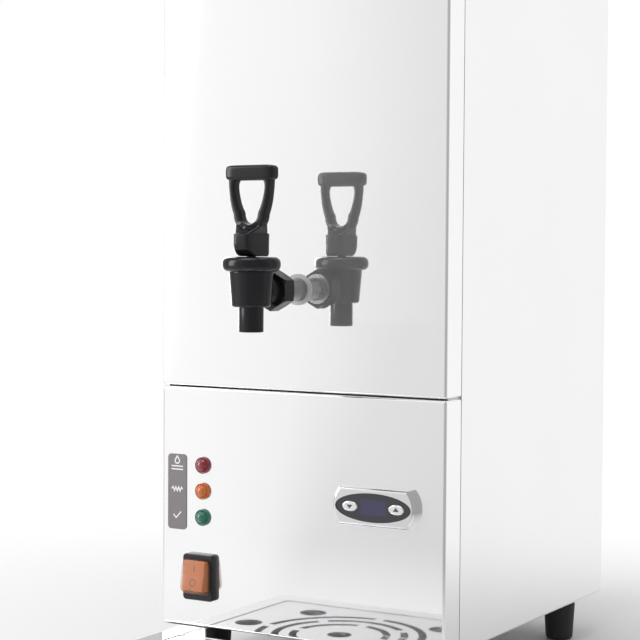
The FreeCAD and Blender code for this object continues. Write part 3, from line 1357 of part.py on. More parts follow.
def boot_shell(inset, start_y):
    """The boot's outer or inner form: a foot on the frame, drawn out to a front that leans with the rocker."""
    pivot = Vector(SWITCH_X, FRONT + PIVOT_BACK, BOTTOM + SWITCH_UP)
    lean = Rotation(X_AXIS, -ROCKER_REST)
    reach = ROCKER_REACH + BOOT_GAP + BOOT_T - inset
    side = ROCKER_W / 2 + BOOT_FOOT_SIDE
    rims = []
    for half_x, half_z, corner in (
        (side - inset, ROCKER_H / 2 + BOOT_FOOT_END - inset, BOOT_EDGE_R - inset),
        (side - inset, ROCKER_H / 2 + BOOT_GAP + BOOT_T - inset, BOOT_EDGE_R - inset),
    ):
        solid = block(-half_x, half_x, 0, 1, -half_z, half_z)
        solid = solid.makeFillet(corner, edges_where(solid, lambda c, d: along(d, Y_AXIS)))
        face = min(solid.Faces, key=lambda f: f.CenterOfMass.y)
        rims.append(face.OuterWire.copy())
    rims[0].Placement = Placement(Vector(SWITCH_X, start_y, pivot.z), Rotation())
    front = pivot + lean.multVec(Vector(0, -reach, 0))
    rims[1].Placement = Placement(front, lean)
    return Part.makeLoft(rims, True, True)


def make_switch_boot():
    seat = FRONT - SWITCH_PROUD
    return boot_shell(0, seat).cut(boot_shell(BOOT_T, seat + 0.01))


def bezel_outline(half_flat, half_w, half_h, y0, y1):
    """A bar with straight top and bottom edges and bowed ends, as a prism along Y."""
    x = DISPLAY_X
    z = BOTTOM + DISPLAY_UP
    a = Vector(x - half_flat, y0, z + half_h)
    b = Vector(x + half_flat, y0, z + half_h)
    c = Vector(x + half_flat, y0, z - half_h)
    d = Vector(x - half_flat, y0, z - half_h)
    edges = [
        Part.LineSegment(a, b).toShape(), Part.Arc(b, Vector(x + half_w, y0, z), c).toShape(),
        Part.LineSegment(c, d).toShape(), Part.Arc(d, Vector(x - half_w, y0, z), a).toShape(),
    ]
    return Part.Face(Part.Wire(edges)).extrude(Vector(0, y1 - y0, 0))


def lens_y():
    """Where the display lens starts, from the front."""
    return FRONT - BEZEL_PROUD + LENS_SINK


def make_display_bezel():
    front = FRONT - BEZEL_PROUD
    body = bezel_outline(BEZEL_FLAT_W / 2, BEZEL_W / 2, BEZEL_H / 2, front, FRONT)
    rim = [e for e in body.Edges if near(e.CenterOfMass.y, front)]
    body = body.makeFillet(BEZEL_EDGE_R, rim)
    z = BOTTOM + DISPLAY_UP
    recess = ellipse_prism(LENS_W / 2, LENS_H / 2, DISPLAY_X, front - 1, lens_y() + LENS_T, z)
    cavity = centred_block(DISPLAY_X, z, CAVITY_W / 2, CAVITY_H / 2, lens_y() + LENS_T - 0.1, FRONT + 1)
    return body.cut([recess, cavity])


def make_display_lens():
    z = BOTTOM + DISPLAY_UP
    gap = BUTTON_GAP / 2
    y0 = lens_y()
    body = ellipse_prism(LENS_W / 2 - gap, LENS_H / 2 - gap, DISPLAY_X, y0, y0 + LENS_T, z)
    holes = [
        ellipse_prism(
            BUTTON_W / 2 + BUTTON_GAP, BUTTON_H / 2 + BUTTON_GAP, DISPLAY_X + s * BUTTON_X, y0 - 1, y0 + LENS_T + 1, z
        )
        for s in (-1, 1)
    ]
    return body.cut(holes)


def make_display_button(side):
    """An oval push button, kept behind the lens by a lip."""
    z = BOTTOM + DISPLAY_UP
    x = DISPLAY_X + side * BUTTON_X
    y0 = lens_y() - BUTTON_PROUD
    lip_y = lens_y() + LENS_T + BUTTON_GAP
    head = ellipse_prism(BUTTON_W / 2, BUTTON_H / 2, x, y0, lip_y + BUTTON_LIP_T, z)
    rim = [e for e in head.Edges if near(e.CenterOfMass.y, y0)]
    head = head.makeFillet(0.8, rim)
    lip = ellipse_prism(BUTTON_W / 2 + BUTTON_LIP, BUTTON_H / 2 + BUTTON_LIP, x, lip_y, lip_y + BUTTON_LIP_T, z)
    return head.fuse(lip)


def make_display_housing():
    """The display's module behind the buttons, with a flange behind the panel and a connector."""
    z = BOTTOM + DISPLAY_UP
    start = lens_y() + LENS_T + BUTTON_GAP + BUTTON_LIP_T + BUTTON_TRAVEL + 0.1
    half_x = CAVITY_W / 2 - HOLE_GAP / 2
    half_z = CAVITY_H / 2 - HOLE_GAP / 2
    box = centred_block(DISPLAY_X, z, half_x, half_z, start, FRONT + HOUSING_L)
    flange_half = HOUSING_FLANGE + half_z
    flange = centred_block(
        DISPLAY_X, z, half_x + HOUSING_FLANGE, flange_half, FRONT + SHEET, FRONT + SHEET + HOUSING_FLANGE_T
    )
    plug_back = FRONT + HOUSING_L + HOUSING_PLUG_L
    plug = centred_block(DISPLAY_X, z, half_z, half_z / 2, FRONT + HOUSING_L, plug_back)
    posts = [
        centred_block(DISPLAY_X + side * POST_X, z, POST_W / 2, half_z, lens_y() + LENS_T, start) for side in (-1, 1)
    ]
    return fused(box, flange, plug, *posts)


def make_drip_tray_pan():
    """The tray: an outer skirt and flat rim, a ledge for the grille, a well, four pads and two rear tabs."""
    back = FRONT
    outer = slab(HALF_W, TRAY_FRONT, back, TRAY_LIFT, TRAY_TOP)
    corners = edges_where(outer, lambda c, d: along(d, Z_AXIS) and near(c.y, TRAY_FRONT))
    outer = outer.makeFillet(TRAY_CORNER_R, corners)
    top_rim = edges_where(outer, lambda c, d: near(c.z, TRAY_TOP) and not near(c.y, back))
    top_rim += [e for e in outer.Edges if near(e.CenterOfMass.z, TRAY_TOP) and e.Curve.TypeId == "Part::GeomCircle"]
    outer = outer.makeFillet(BEND_R, top_rim)
    t = TRAY_SHEET
    under = slab(HALF_W - t, TRAY_FRONT + t, back - TRAY_BACK_WALL, TRAY_LIFT - 1, TRAY_TOP - t)
    corners = edges_where(under, lambda c, d: along(d, Z_AXIS) and near(c.y, TRAY_FRONT + t))
    under = under.makeFillet(TRAY_CORNER_R - t, corners)
    ledge_z = TRAY_TOP - LEDGE_SINK
    pocket_x = GRILLE_X + GRILLE_GAP
    pocket_back = back - TRAY_BACK_WALL
    pocket_front = TRAY_FRONT + RIM_W - GRILLE_GAP
    well_x = GRILLE_X - LEDGE_W
    well_back = pocket_back - LEDGE_W
    well_front = TRAY_FRONT + RIM_W + LEDGE_W
    corner = GRILLE_CORNER_R + GRILLE_GAP
    pocket = upright_rounded(-pocket_x, pocket_x, pocket_front, pocket_back, ledge_z, TRAY_TOP + 1, corner)
    well = slab(well_x, well_front, well_back, WELL_FLOOR + t, TRAY_TOP)
    well = well.makeFillet(WELL_R, edges_where(well, lambda c, d: not near(c.z, TRAY_TOP)))
    shelf = slab(pocket_x + t, pocket_front - t, pocket_back, ledge_z - t, TRAY_TOP)
    basin = slab(well_x + t, well_front - t, well_back + t, WELL_FLOOR, TRAY_TOP)
    basin = basin.makeFillet(WELL_R + t, edges_where(basin, lambda c, d: not near(c.z, TRAY_TOP)))
    body = outer.cut(under.cut([shelf, basin])).cut([pocket, well])
    tab_out = HALF_W - TAB_EDGE
    tab_in = tab_out - TAB_W
    tab_top = BOTTOM - TAB_GAP
    tab = block(tab_in, tab_out, back - TRAY_BACK_WALL, back, TRAY_TOP - 2, tab_top)
    lug = block(tab_in + LUG_IN, tab_out - LUG_IN, back - 0.5, back + LUG_D, tab_top - t, tab_top)
    for side in (tab, lug):
        body = body.fuse([side, mirrored(side)])
    pads = []
    for x in (-1, 1):
        for y in (TRAY_FRONT + PAD_END, back - PAD_END):
            pads.append(rod(PAD_R, x * (well_x - PAD_SIDE), y, 0, WELL_FLOOR))
    return body.fuse(pads).removeSplitter()


def make_drip_grille():
    """The grille plate, pierced with a round hole, three rings of curved slots and four finger holes."""
    y0 = TRAY_FRONT + RIM_W
    y1 = FRONT - TRAY_BACK_WALL - GRILLE_GAP
    z = TRAY_TOP - LEDGE_SINK
    body = upright_rounded(-GRILLE_X, GRILLE_X, y0, y1, z, z + GRILLE_T, GRILLE_CORNER_R)
    centre = FRONT - GRILLE_CENTRE
    holes = [rod(GRILLE_HOLE_R, 0, centre, z - 1, GRILLE_T + 2)]
    for radius, first in SLOT_RINGS:
        slot = ring(radius + SLOT_W / 2, radius - SLOT_W / 2, 0, centre, z - 1, GRILLE_T + 2)
        bridges = []
        for quarter in range(2):
            bar = slab(radius + SLOT_W, centre - SLOT_BRIDGE / 2, centre + SLOT_BRIDGE / 2, z - 2, z + GRILLE_T + 2)
            bar.rotate(Vector(0, centre, z), Z_AXIS, first + 90 * quarter)
            bridges.append(bar)
        holes.append(slot.cut(bridges))
    for angle in FINGER_HOLE_ANGLES:
        turn = math.radians(angle)
        x = FINGER_HOLE_RING * math.cos(turn)
        y = centre + FINGER_HOLE_RING * math.sin(turn)
        holes.append(rod(FINGER_HOLE_R, x, y, z - 1, GRILLE_T + 2))
    return body.cut(holes)


# Places that the hoses, the valve and the spring take from the pieces round them
HOSE_Y = SIDE_BACK - SHEET - HOSE_R - HOSE_ROOM
VALVE_D = SIDE_BACK - VALVE_FLANGE_T - HOSE_Y + COIL_HALF + 1
FILL_X = INLET_X - VALVE_LEFT / 2
DRAIN_X = OVERFLOW_X
VALVE_TOP = BOTTOM + INLET_UP + VALVE_HALF_H + VALVE_NECK
FILL_TOP = LID_Z + LID_T + ELBOW_UP
DRAIN_Z = TANK_TOP - DRAIN_DROP
DRAIN_JOIN = TANK_Y + math.sqrt(max(TANK_R ** 2 - DRAIN_X ** 2, 0)) - 4
SPRING_LOW = BOTTOM + SEAT_UP + SEAT_H + CUP_H + COLLAR_H + 1
SPRING_TOP = BONNET_TOP - 4

PIECES = {
    "base_chassis": make_base_chassis,
    "side_panel_right": make_side_panel,
    "side_panel_left": lambda: mirrored(make_side_panel()),
    "rear_panel": make_rear_panel,
    "top_cover": make_top_cover,
    "upper_front_panel": make_upper_front_panel,
    "lower_front_panel": make_lower_front_panel,
    "front_posts": make_front_posts,
    "tank_shelf": make_tank_shelf,
    "rubber_feet": make_rubber_feet,
    "foot_screws": make_foot_screws,
    "panel_screws": make_panel_screws,
    "tank_shell": make_tank_shell,
    "tank_lid": make_tank_lid,
    "lid_gasket": make_lid_gasket,
    "lid_screws": make_lid_screws,
    "tank_insulation": make_tank_insulation,
    "heating_element": make_heating_element,
    "element_bushes": make_element_bushes,
    "temperature_probe": make_temperature_probe,
    "overheat_cutout": make_overheat_cutout,
    "level_probes": make_level_probes,
    "probe_insulators": make_probe_insulators,
    "fill_hose": make_fill_hose,
    "overflow_hose": make_overflow_hose,
    "inlet_valve": make_inlet_valve,
    "valve_coil": make_valve_coil,
    "valve_plunger": make_valve_plunger,
    "overflow_fitting": make_overflow_fitting,
    "cable_gland": make_cable_gland,
    "lock_nuts": make_lock_nuts,
    "control_board": make_control_board,
    "board_standoffs": make_board_standoffs,
    "transformer": make_transformer,
    "terminal_block": make_terminal_block,
    "tap_body": make_tap_body,
    "tap_union_nut": make_tap_union_nut,
    "tap_shank": make_tap_shank,
    "tap_washer": make_tap_washer,
    "tap_shank_nut": make_tap_shank_nut,
    "tap_coupling": make_tap_coupling,
    "tap_bonnet": make_tap_bonnet,
    "tap_stem": make_tap_stem,
    "seat_cup": make_seat_cup,
    "handle_pin": make_handle_pin,
    "tap_spring": make_tap_spring,
    "tap_handle": make_tap_handle,
    "lamp_holders": make_lamp_holders,
    "label_plate": make_label_plate,
    "switch_body": make_switch_body,
    "switch_rocker": make_switch_rocker,
    "switch_boot": make_switch_boot,
    "display_bezel": make_display_bezel,
    "display_lens": make_display_lens,
    "display_housing": make_display_housing,
    "display_button_down": lambda: make_display_button(-1),
    "display_button_up": lambda: make_display_button(1),
    "drip_tray_pan": make_drip_tray_pan,
    "drip_grille": make_drip_grille,
}


def main():
    """Build every piece and write each to its own file."""
    os.makedirs("parts", exist_ok=True)
    for name, make in PIECES.items():
        make().exportStep(f"parts/{name}.step")
    lenses = group(*[make_lamp_lens(up) for up in LAMP_UPS])
    lenses.exportStep("parts/lamp_lenses.step")


main()
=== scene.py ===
import functools
import logging
import math
from dataclasses import dataclass, field
from enum import Enum

import bpy
import numpy as np
import numpy.typing as npt
from mathutils import Matrix, Vector


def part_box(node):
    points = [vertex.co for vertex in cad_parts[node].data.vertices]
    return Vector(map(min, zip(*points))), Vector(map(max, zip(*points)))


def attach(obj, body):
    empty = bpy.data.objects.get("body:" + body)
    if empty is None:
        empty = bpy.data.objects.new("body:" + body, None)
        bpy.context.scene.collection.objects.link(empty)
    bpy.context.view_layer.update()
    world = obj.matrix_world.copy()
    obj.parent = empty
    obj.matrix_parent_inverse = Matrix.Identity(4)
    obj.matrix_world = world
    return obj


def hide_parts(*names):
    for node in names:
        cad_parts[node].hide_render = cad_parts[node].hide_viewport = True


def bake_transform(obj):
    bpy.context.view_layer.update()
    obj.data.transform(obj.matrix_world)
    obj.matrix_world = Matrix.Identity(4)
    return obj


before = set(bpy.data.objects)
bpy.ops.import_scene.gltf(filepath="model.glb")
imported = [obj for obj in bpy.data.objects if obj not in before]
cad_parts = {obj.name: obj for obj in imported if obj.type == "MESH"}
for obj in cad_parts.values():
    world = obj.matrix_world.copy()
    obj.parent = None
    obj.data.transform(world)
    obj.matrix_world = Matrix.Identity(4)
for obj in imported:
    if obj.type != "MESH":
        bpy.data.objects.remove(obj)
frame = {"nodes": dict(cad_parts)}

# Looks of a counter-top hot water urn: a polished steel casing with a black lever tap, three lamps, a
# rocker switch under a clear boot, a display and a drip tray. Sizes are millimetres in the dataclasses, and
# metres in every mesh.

Points = npt.NDArray[np.float64]
Colour = tuple[float, float, float]
MM = 0.001
log = logging.getLogger("urn")


def linear(red: int, green: int, blue: int) -> Colour:
    """Turn a colour as it shows on a screen, 0 to 255, into the linear values that shaders take.

    Args:
        red, green, blue: the shown colour.

    Returns:
        The linear colour. Each value is (v + 0.055) / 1.055 to the power 2.4, and v / 12.92 near black.
    """
    shown = np.array([red, green, blue]) / 255
    low = shown / 12.92
    high = ((shown + 0.055) / 1.055) ** 2.4
    return tuple(float(v) for v in np.where(shown <= 0.04045, low, high))


# Mesh surfaces


@dataclass
class Shell:
    """One closed surface: its points in metres, and its faces as index tuples."""

    points: Points
    faces: list[tuple[int, ...]]

    def volume(self) -> float:
        """Work out the signed volume: the sum over triangles of a . (b x c) / 6.

        Returns:
            The volume, which is positive when the faces point outwards.
        """
        total = 0.0
        for count in {len(f) for f in self.faces}:
            faces = np.array([f for f in self.faces if len(f) == count])
            a = self.points[faces[:, 0]]
            for k in range(1, count - 1):
                b = self.points[faces[:, k]]
                c = self.points[faces[:, k + 1]]
                total += float(np.einsum("ij,ij->i", a, np.cross(b, c)).sum()) / 6
        return total

    def outward(self) -> "Shell":
        """Turn the faces outwards.

        Returns:
            This shell, or one with its faces reversed.
        """
        if self.volume() >= 0:
            return self
        return Shell(self.points, [tuple(reversed(f)) for f in self.faces])


def skin(grid: Points, ring: bool = False) -> Shell:
    """Close a grid of rings into a shell.

    Args:
        grid: points of shape (rows, columns, 3), in millimetres. Each row is a closed ring.
        ring: whether the last row joins the first; otherwise each end is closed by a fan to its middle.

    Returns:
        The shell, in metres, with its faces outwards.
    """
    rows, columns, _ = grid.shape
    points = grid.reshape(-1, 3) * MM
    here = np.arange(columns)
    across = np.roll(here, -1)
    count = rows if ring else rows - 1
    starts = np.arange(count)[:, None] * columns
    ends = ((np.arange(count) + 1) % rows)[:, None] * columns
    quads = np.stack([starts + here, starts + across, ends + across, ends + here], axis=-1).reshape(-1, 4)
    faces = [tuple(q) for q in quads.tolist()]
    if not ring:
        middles = np.array([points[:columns].mean(0), points[-columns:].mean(0)])
        low, high = len(points), len(points) + 1
        points = np.vstack([points, middles])
        last = (rows - 1) * columns
        faces += [(low, int(b), int(a)) for a, b in zip(here, across)]
        faces += [(high, last + int(a), last + int(b)) for a, b in zip(here, across)]
    return Shell(points, faces).outward()


def mesh_piece(name: str, shells: list[Shell], sharp: float = 35.0) -> bpy.types.Object:
    """Put shells into one new object at the origin.

    Args:
        name: the piece's name.
        shells: closed shells, in the row frame.
        sharp: edges that turn by more than this many degrees stay crisp.

    Returns:
        The object.
    """
    mesh = bpy.data.meshes.new(name)
    offset = 0
    points: list[Points] = []
    faces: list[tuple[int, ...]] = []
    for shell in shells:
        points.append(shell.points)
        faces += [tuple(i + offset for i in f) for f in shell.faces]
        offset += len(shell.points)
    mesh.from_pydata(np.vstack(points).tolist(), [], faces)
    mesh.polygons.foreach_set("use_smooth", np.ones(len(mesh.polygons), dtype=bool))
    mesh.set_sharp_from_angle(angle=math.radians(sharp))
    mesh.update()
    piece = bpy.data.objects.new(name, mesh)
    bpy.context.scene.collection.objects.link(piece)
    return piece


def turned(
    outline: Points, centre: Points, axis: str = "Z", segments: int = 64, closed: bool = False
) -> Shell:
    """Turn an outline about an axis: a point at radius r and height h goes to (r cos t, r sin t, h).

    Args:
        outline: (radius, height) rows in millimetres, with the height measured along the axis.
        centre: the point on the axis at height 0.
        axis: "Z" for an upright axis, or "Y" for one that runs front to back.
        segments: points round.
        closed: whether the outline's last point joins its first.

    Returns:
        The closed shell.
    """
    t = np.linspace(0, 2 * np.pi, segments, endpoint=False)
    r, h = outline[:, :1], outline[:, 1:]
    flat = np.stack([r * np.cos(t), r * np.sin(t), h + 0 * t], axis=-1)
    if axis == "Y":
        flat = flat[..., [0, 2, 1]]
    return skin(flat + centre, ring=closed)


def fillet(centre: tuple[float, float], radius: float, start: float, stop: float, steps: int = 6) -> Points:
    """Draw an arc of an outline: the centre plus radius times (cos a, sin a).

    Args:
        centre: the arc's centre.
        radius: its radius.
        start, stop: the angle a at its two ends, in degrees.
        steps: how many points.

    Returns:
        The points.
    """
    a = np.radians(np.linspace(start, stop, steps))
    return np.stack([centre[0] + radius * np.cos(a), centre[1] + radius * np.sin(a)], axis=-1)


def set_back(up: Points, radius: float) -> Points:
    """Work out how far a face stands back at a rounded bottom edge: R - root of (R^2 - (R - up)^2).

    Args:
        up: heights above the bottom.
        radius: R, the edge's radius.

    Returns:
        The distance at each height, which is 0 from R upwards.
    """
    return radius - np.sqrt(np.clip(radius ** 2 - np.clip(radius - up, 0, radius) ** 2, 0, None))


def profile(*parts: object) -> Points:
    """Join single points and arcs into one outline.

    Args:
        parts: (radius, height) points, and rows of them.

    Returns:
        All the points in order.
    """
    return np.vstack([np.atleast_2d(np.asarray(p, dtype=float)) for p in parts])


def oval(half_a: Points, half_b: Points, power: float, count: int = 48) -> Points:
    """Rings that run from an ellipse to a rounded box.

    A point at angle t lies at (a |cos t|^(2/n), b |sin t|^(2/n)) with the signs of cos t and sin t.

    Args:
        half_a, half_b: half sizes, one pair for each ring.
        power: n. 2 gives an ellipse, and more gives squarer corners.
        count: points round.

    Returns:
        Points of shape (rings, count, 2).
    """
    t = np.linspace(0, 2 * np.pi, count, endpoint=False) + np.pi / count
    a = np.sign(np.cos(t)) * np.abs(np.cos(t)) ** (2 / power)
    b = np.sign(np.sin(t)) * np.abs(np.sin(t)) ** (2 / power)
    return np.stack([half_a[:, None] * a, half_b[:, None] * b], axis=-1)


def ribbon(path: Points, width: float, depth: float, closed: bool = False) -> Points:
    """Carry a flat bar's section along a path drawn on a plane.

    At each point the section's sides stand at the path's mitred normal, which is the sum of the two runs'
    normals, scaled so that the bar keeps its width round the corner.

    Args:
        path: (x, z) points in millimetres.
        width: across the stroke.
        depth: how far it stands out, towards -Y.
        closed: whether the path is a loop.

    Returns:
        Rings of four points, shape (points, 4, 3), with y from 0 to -depth.
    """
    ahead = np.roll(path, -1, axis=0) - path
    behind = np.roll(ahead, 1, axis=0)
    if not closed:
        ahead[-1] = ahead[-2]
        behind[0] = ahead[0]
    normals = []
    for run in (behind, ahead):
        unit = run / np.linalg.norm(run, axis=1, keepdims=True)
        normals.append(np.stack([-unit[:, 1], unit[:, 0]], axis=-1))
    total = normals[0] + normals[1]
    total /= np.maximum((total * total).sum(1, keepdims=True) / 2, 0.25)
    side = total * width / 2
    left, right = path + side, path - side
    rows = [(left, 0.0), (right, 0.0), (right, -depth), (left, -depth)]
    return np.stack([np.stack([p[:, 0], np.full(len(p), y), p[:, 1]], axis=-1) for p, y in rows], axis=1)


def stroke(path: list[tuple[float, float]] | Points, width: float, depth: float, at: Points,
           turn: float = 0.0, closed: bool = False) -> Shell:
    """One raised stroke of a symbol.

    Args:
        path: (x, z) points about the symbol's middle.
        width, depth: the stroke's section.
        at: where the symbol's middle goes.
        turn: degrees to lean it about X, with its top going backwards, as the rocker's face leans.
        closed: whether it is a loop.

    Returns:
        The closed shell.
    """
    grid = ribbon(np.asarray(path, dtype=float), width, depth, closed)
    c, s = math.cos(math.radians(turn)), math.sin(math.radians(turn))
    lean = np.array([[1, 0, 0], [0, c, -s], [0, s, c]])
    return skin(grid @ lean + at, ring=closed)


def circle_path(radius: float, count: int = 32) -> Points:
    """Draw a round path: radius times (cos t, sin t).

    Args:
        radius: its radius.
        count: points round.

    Returns:
        The points.
    """
    t = np.linspace(0, 2 * np.pi, count, endpoint=False)
    return radius * np.stack([np.cos(t), np.sin(t)], axis=-1)


# Finishes

Socket = bpy.types.NodeSocket
Value = Socket | float | tuple[float, ...]
CLOUD_SCALE = 14.0
WAVE_SCALE = 5.0
NOISE_DETAIL = 4.0


class Grain(Enum):
    """How a finish's fine pattern runs."""

    EVEN = (1.0, 1.0, 1.0)
    BRUSHED_ACROSS = (0.012, 0.012, 1.0)
    BRUSHED_UP = (1.0, 1.0, 0.012)
    BRUSHED_DEEP = (1.0, 0.012, 1.0)
    TURNED_DEEP = (0.012, 1.0, 0.012)


@dataclass
class Graph:
    """A material's or the world's nodes, with short ways to add to them."""

    tree: bpy.types.NodeTree

    def put(self, socket: Socket, value: Value) -> None:
        """Link an output to a socket, or set the socket's own value.

        Args:
            socket: the input to fill.
            value: another node's output, a number or a colour.
        """
        if isinstance(value, bpy.types.NodeSocket):
            self.tree.links.new(value, socket)
        else:
            socket.default_value = value

    def fill(self, sockets: bpy.types.NodeInputs, values: dict[str | int, Value]) -> None:
        """Put each value into its socket.

        Args:
            sockets: a node's inputs.
            values: what goes into each named or numbered one.
        """
        for socket, value in values.items():
            self.put(sockets[socket], value)

    def node(self, kind: str, inputs: dict[str | int, Value] | None = None, **options: str) -> bpy.types.Node:
        """Add a node.

        Args:
            kind: its type, without the leading ShaderNode.
            inputs: what goes into each named or numbered input.
            options: its settings, which are set before its inputs.

        Returns:
            The node.
        """
        node = self.tree.nodes.new(f"ShaderNode{kind}")
        for option, choice in options.items():
            setattr(node, option, choice)
        self.fill(node.inputs, inputs or {})
        return node

    def place(self) -> Socket:
        """The place on the piece, in its own coordinates.

        Returns:
            The output.
        """
        return self.node("TexCoord").outputs["Object"]

    def math(self, operation: str, first: Value, second: Value = 0.0) -> Socket:
        """Work out one sum.

        Args:
            operation: the sum's name.
            first, second: its two values. Some sums use only the first.

        Returns:
            The result.
        """
        return self.node("Math", {0: first, 1: second}, operation=operation).outputs[0]

    def ramp(self, value: Socket, low: float, high: float, to: tuple[float, float] = (0.0, 1.0),
             **options: str) -> Socket:
        """Map a value from one span to another, and hold it at the ends.

        Args:
            value: what to map.
            low, high: the span that it comes from.
            to: the span that it goes to.
            options: how the ramp eases.

        Returns:
            The mapped value.
        """
        ends = {"From Min": low, "From Max": high, "To Min": to[0], "To Max": to[1]}
        return self.node("MapRange", {"Value": value, **ends}, **options).outputs["Result"]

    def colours(self, amount: Socket, first: Colour, second: Colour) -> Socket:
        """Run from one colour to another.

        Args:
            amount: 0 for the first colour and 1 for the second.
            first, second: the colours.

        Returns:
            The mixed colour.
        """
        ends = {"Factor": amount, "A": (*first, 1), "B": (*second, 1)}
        return self.node("Mix", ends, data_type="RGBA").outputs["Result"]

    def noise(self, place: Socket, scale: float, stretch: Colour = (1.0, 1.0, 1.0)) -> Socket:
        """Make a noise pattern.

        Args:
            place: the coordinates that it lies on.
            scale: its cells to the metre.
            stretch: a factor for each axis; less than 1 draws the cells out.

        Returns:
            The pattern, from 0 to 1.
        """
        mapping = self.node("Mapping", {"Vector": place, "Scale": stretch})
        inputs = {"Vector": mapping.outputs["Vector"], "Scale": scale, "Detail": NOISE_DETAIL}
        return self.node("TexNoise", inputs).outputs["Fac"]

    def mixed(self, amount: Socket, first: Socket, second: Socket) -> Socket:
        """Mix two surfaces.

        Args:
            amount: 0 for the first surface and 1 for the second.
            first, second: the surfaces.

        Returns:
            The mixed surface.
        """
        return self.node("MixShader", {"Fac": amount, 1: first, 2: second}).outputs["Shader"]

    def bump(self, height: Socket, strength: float, depth: float) -> bpy.types.Node:
        """Raise a pattern on the surface.

        Args:
            height: the pattern.
            strength: how much of it shows.
            depth: its height in millimetres.

        Returns:
            The bump node, whose Normal input is free for a broader bump below it.
        """
        return self.node("Bump", {"Strength": strength, "Distance": depth * MM, "Height": height})


def new_material(name: str) -> tuple[bpy.types.Material, Graph, bpy.types.NodeInputs]:
    """Start a node material.

    Args:
        name: the finish's name.

    Returns:
        The material, its graph, and the sockets of its shader.
    """
    material = bpy.data.materials.new(f"look_{name}")
    material.use_nodes = True
    return material, Graph(material.node_tree), material.node_tree.nodes["Principled BSDF"].inputs


@dataclass(frozen=True)
class Finish:
    """A surface: its colour, its gloss, and the fine pattern that varies both.

    Sizes in scale are pattern cells to the metre along the unstretched direction."""

    name: str
    colour: Colour
    metallic: float = 0.0
    roughness: float = 0.5
    spread: float = 0.05
    tint: float = 0.04
    grain: Grain = Grain.EVEN
    scale: float = 900.0
    bump: float = 0.1
    depth: float = 0.02
    coat: float = 0.0
    coat_roughness: float = 0.03
    transmission: float = 0.0
    alpha: float = 1.0
    ior: float = 1.45
    glow: float = 0.0
    wave: float = 0.0

    def build(self) -> bpy.types.Material:
        """Make the node material.

        The fine pattern varies the gloss and the relief, and soft clouds vary the colour.

        Returns:
            The material.
        """
        material, graph, sockets = new_material(self.name)
        place = graph.place()
        fine = graph.noise(place, self.scale, self.grain.value)
        relief = graph.bump(fine, self.bump, self.depth)
        if self.wave:
            swell = graph.bump(graph.noise(place, WAVE_SCALE), 1.0, self.wave)
            graph.put(relief.inputs["Normal"], swell.outputs["Normal"])
        darker = tuple(c * (1 - self.tint) for c in self.colour)
        lighter = tuple(min(c * (1 + self.tint), 1.0) for c in self.colour)
        gloss = (max(self.roughness - self.spread, 0.0), self.roughness + self.spread)
        values = {
            "Base Color": graph.colours(graph.noise(place, CLOUD_SCALE), darker, lighter),
            "Metallic": self.metallic,
            "Roughness": graph.ramp(fine, 0.0, 1.0, gloss),
            "IOR": self.ior,
            "Alpha": self.alpha,
            "Normal": relief.outputs["Normal"],
            "Transmission Weight": self.transmission,
            "Coat Weight": self.coat,
            "Coat Roughness": self.coat_roughness,
        }
        if self.glow:
            values |= {"Emission Color": (*self.colour, 1), "Emission Strength": self.glow}
        graph.fill(sockets, values)
        return material


STEEL = (0.93, 0.93, 0.935)
POLISHED = Finish("polished_steel", STEEL, metallic=0.9, roughness=0.035, spread=0.012, tint=0.01,
                  grain=Grain.BRUSHED_UP, scale=1400, bump=0.02, depth=0.004, wave=0.12)
SATIN_SIDE = Finish("satin_steel_side", STEEL, metallic=0.88, roughness=0.24, tint=0.015,
                    grain=Grain.BRUSHED_UP, scale=1600, bump=0.06, depth=0.01)
SATIN_TOP = Finish("satin_steel_top", STEEL, metallic=0.9, roughness=0.22, tint=0.015,
                   grain=Grain.BRUSHED_DEEP, scale=1600, bump=0.06, depth=0.01)
TRAY_STEEL = Finish("tray_steel", (0.88, 0.88, 0.885), metallic=0.9, roughness=0.13, spread=0.04,
                    tint=0.015, grain=Grain.BRUSHED_UP, scale=1500, bump=0.05, depth=0.008)
GRILLE_STEEL = Finish("grille_steel", (0.80, 0.80, 0.81), metallic=0.92, roughness=0.2, tint=0.02,
                      grain=Grain.BRUSHED_DEEP, scale=1500, bump=0.06, depth=0.01)
PLATED = Finish("zinc_plate", (0.55, 0.56, 0.58), metallic=0.95, roughness=0.38, spread=0.1, tint=0.12,
                scale=260, bump=0.12)
TANK_STEEL = Finish("tank_steel", (0.62, 0.62, 0.63), metallic=0.95, roughness=0.33, spread=0.08, tint=0.08,
                    grain=Grain.BRUSHED_ACROSS, scale=1200)
BRIGHT_SCREW = Finish("bright_screw", (0.7, 0.7, 0.71), metallic=1.0, roughness=0.22, scale=2400, bump=0.08)
SHANK_STEEL = Finish("shank_steel", (0.36, 0.36, 0.355), metallic=0.95, roughness=0.3, spread=0.1,
                     tint=0.06, grain=Grain.TURNED_DEEP, bump=0.3, depth=0.05)
CLEAR_WASHER = Finish("clear_washer", (0.62, 0.62, 0.63), roughness=0.3, scale=500, bump=0.08,
                      transmission=0.2)
CHROME = Finish("chrome", (0.86, 0.86, 0.87), metallic=1.0, roughness=0.05, spread=0.015, tint=0.01,
                scale=700, bump=0.01, depth=0.004)
BUTTON_CHROME = Finish("button_chrome", (0.86, 0.86, 0.87), metallic=0.8, roughness=0.16, spread=0.02,
                       bump=0.02, depth=0.004)
BRASS = Finish("turned_brass", (0.66, 0.46, 0.17), metallic=1.0, roughness=0.28, spread=0.08, tint=0.08,
               grain=Grain.BRUSHED_ACROSS, scale=1500)
ELEMENT_ALLOY = Finish("heat_stained_alloy", (0.16, 0.13, 0.11), metallic=0.8, spread=0.12, tint=0.35,
                       scale=160, bump=0.3)
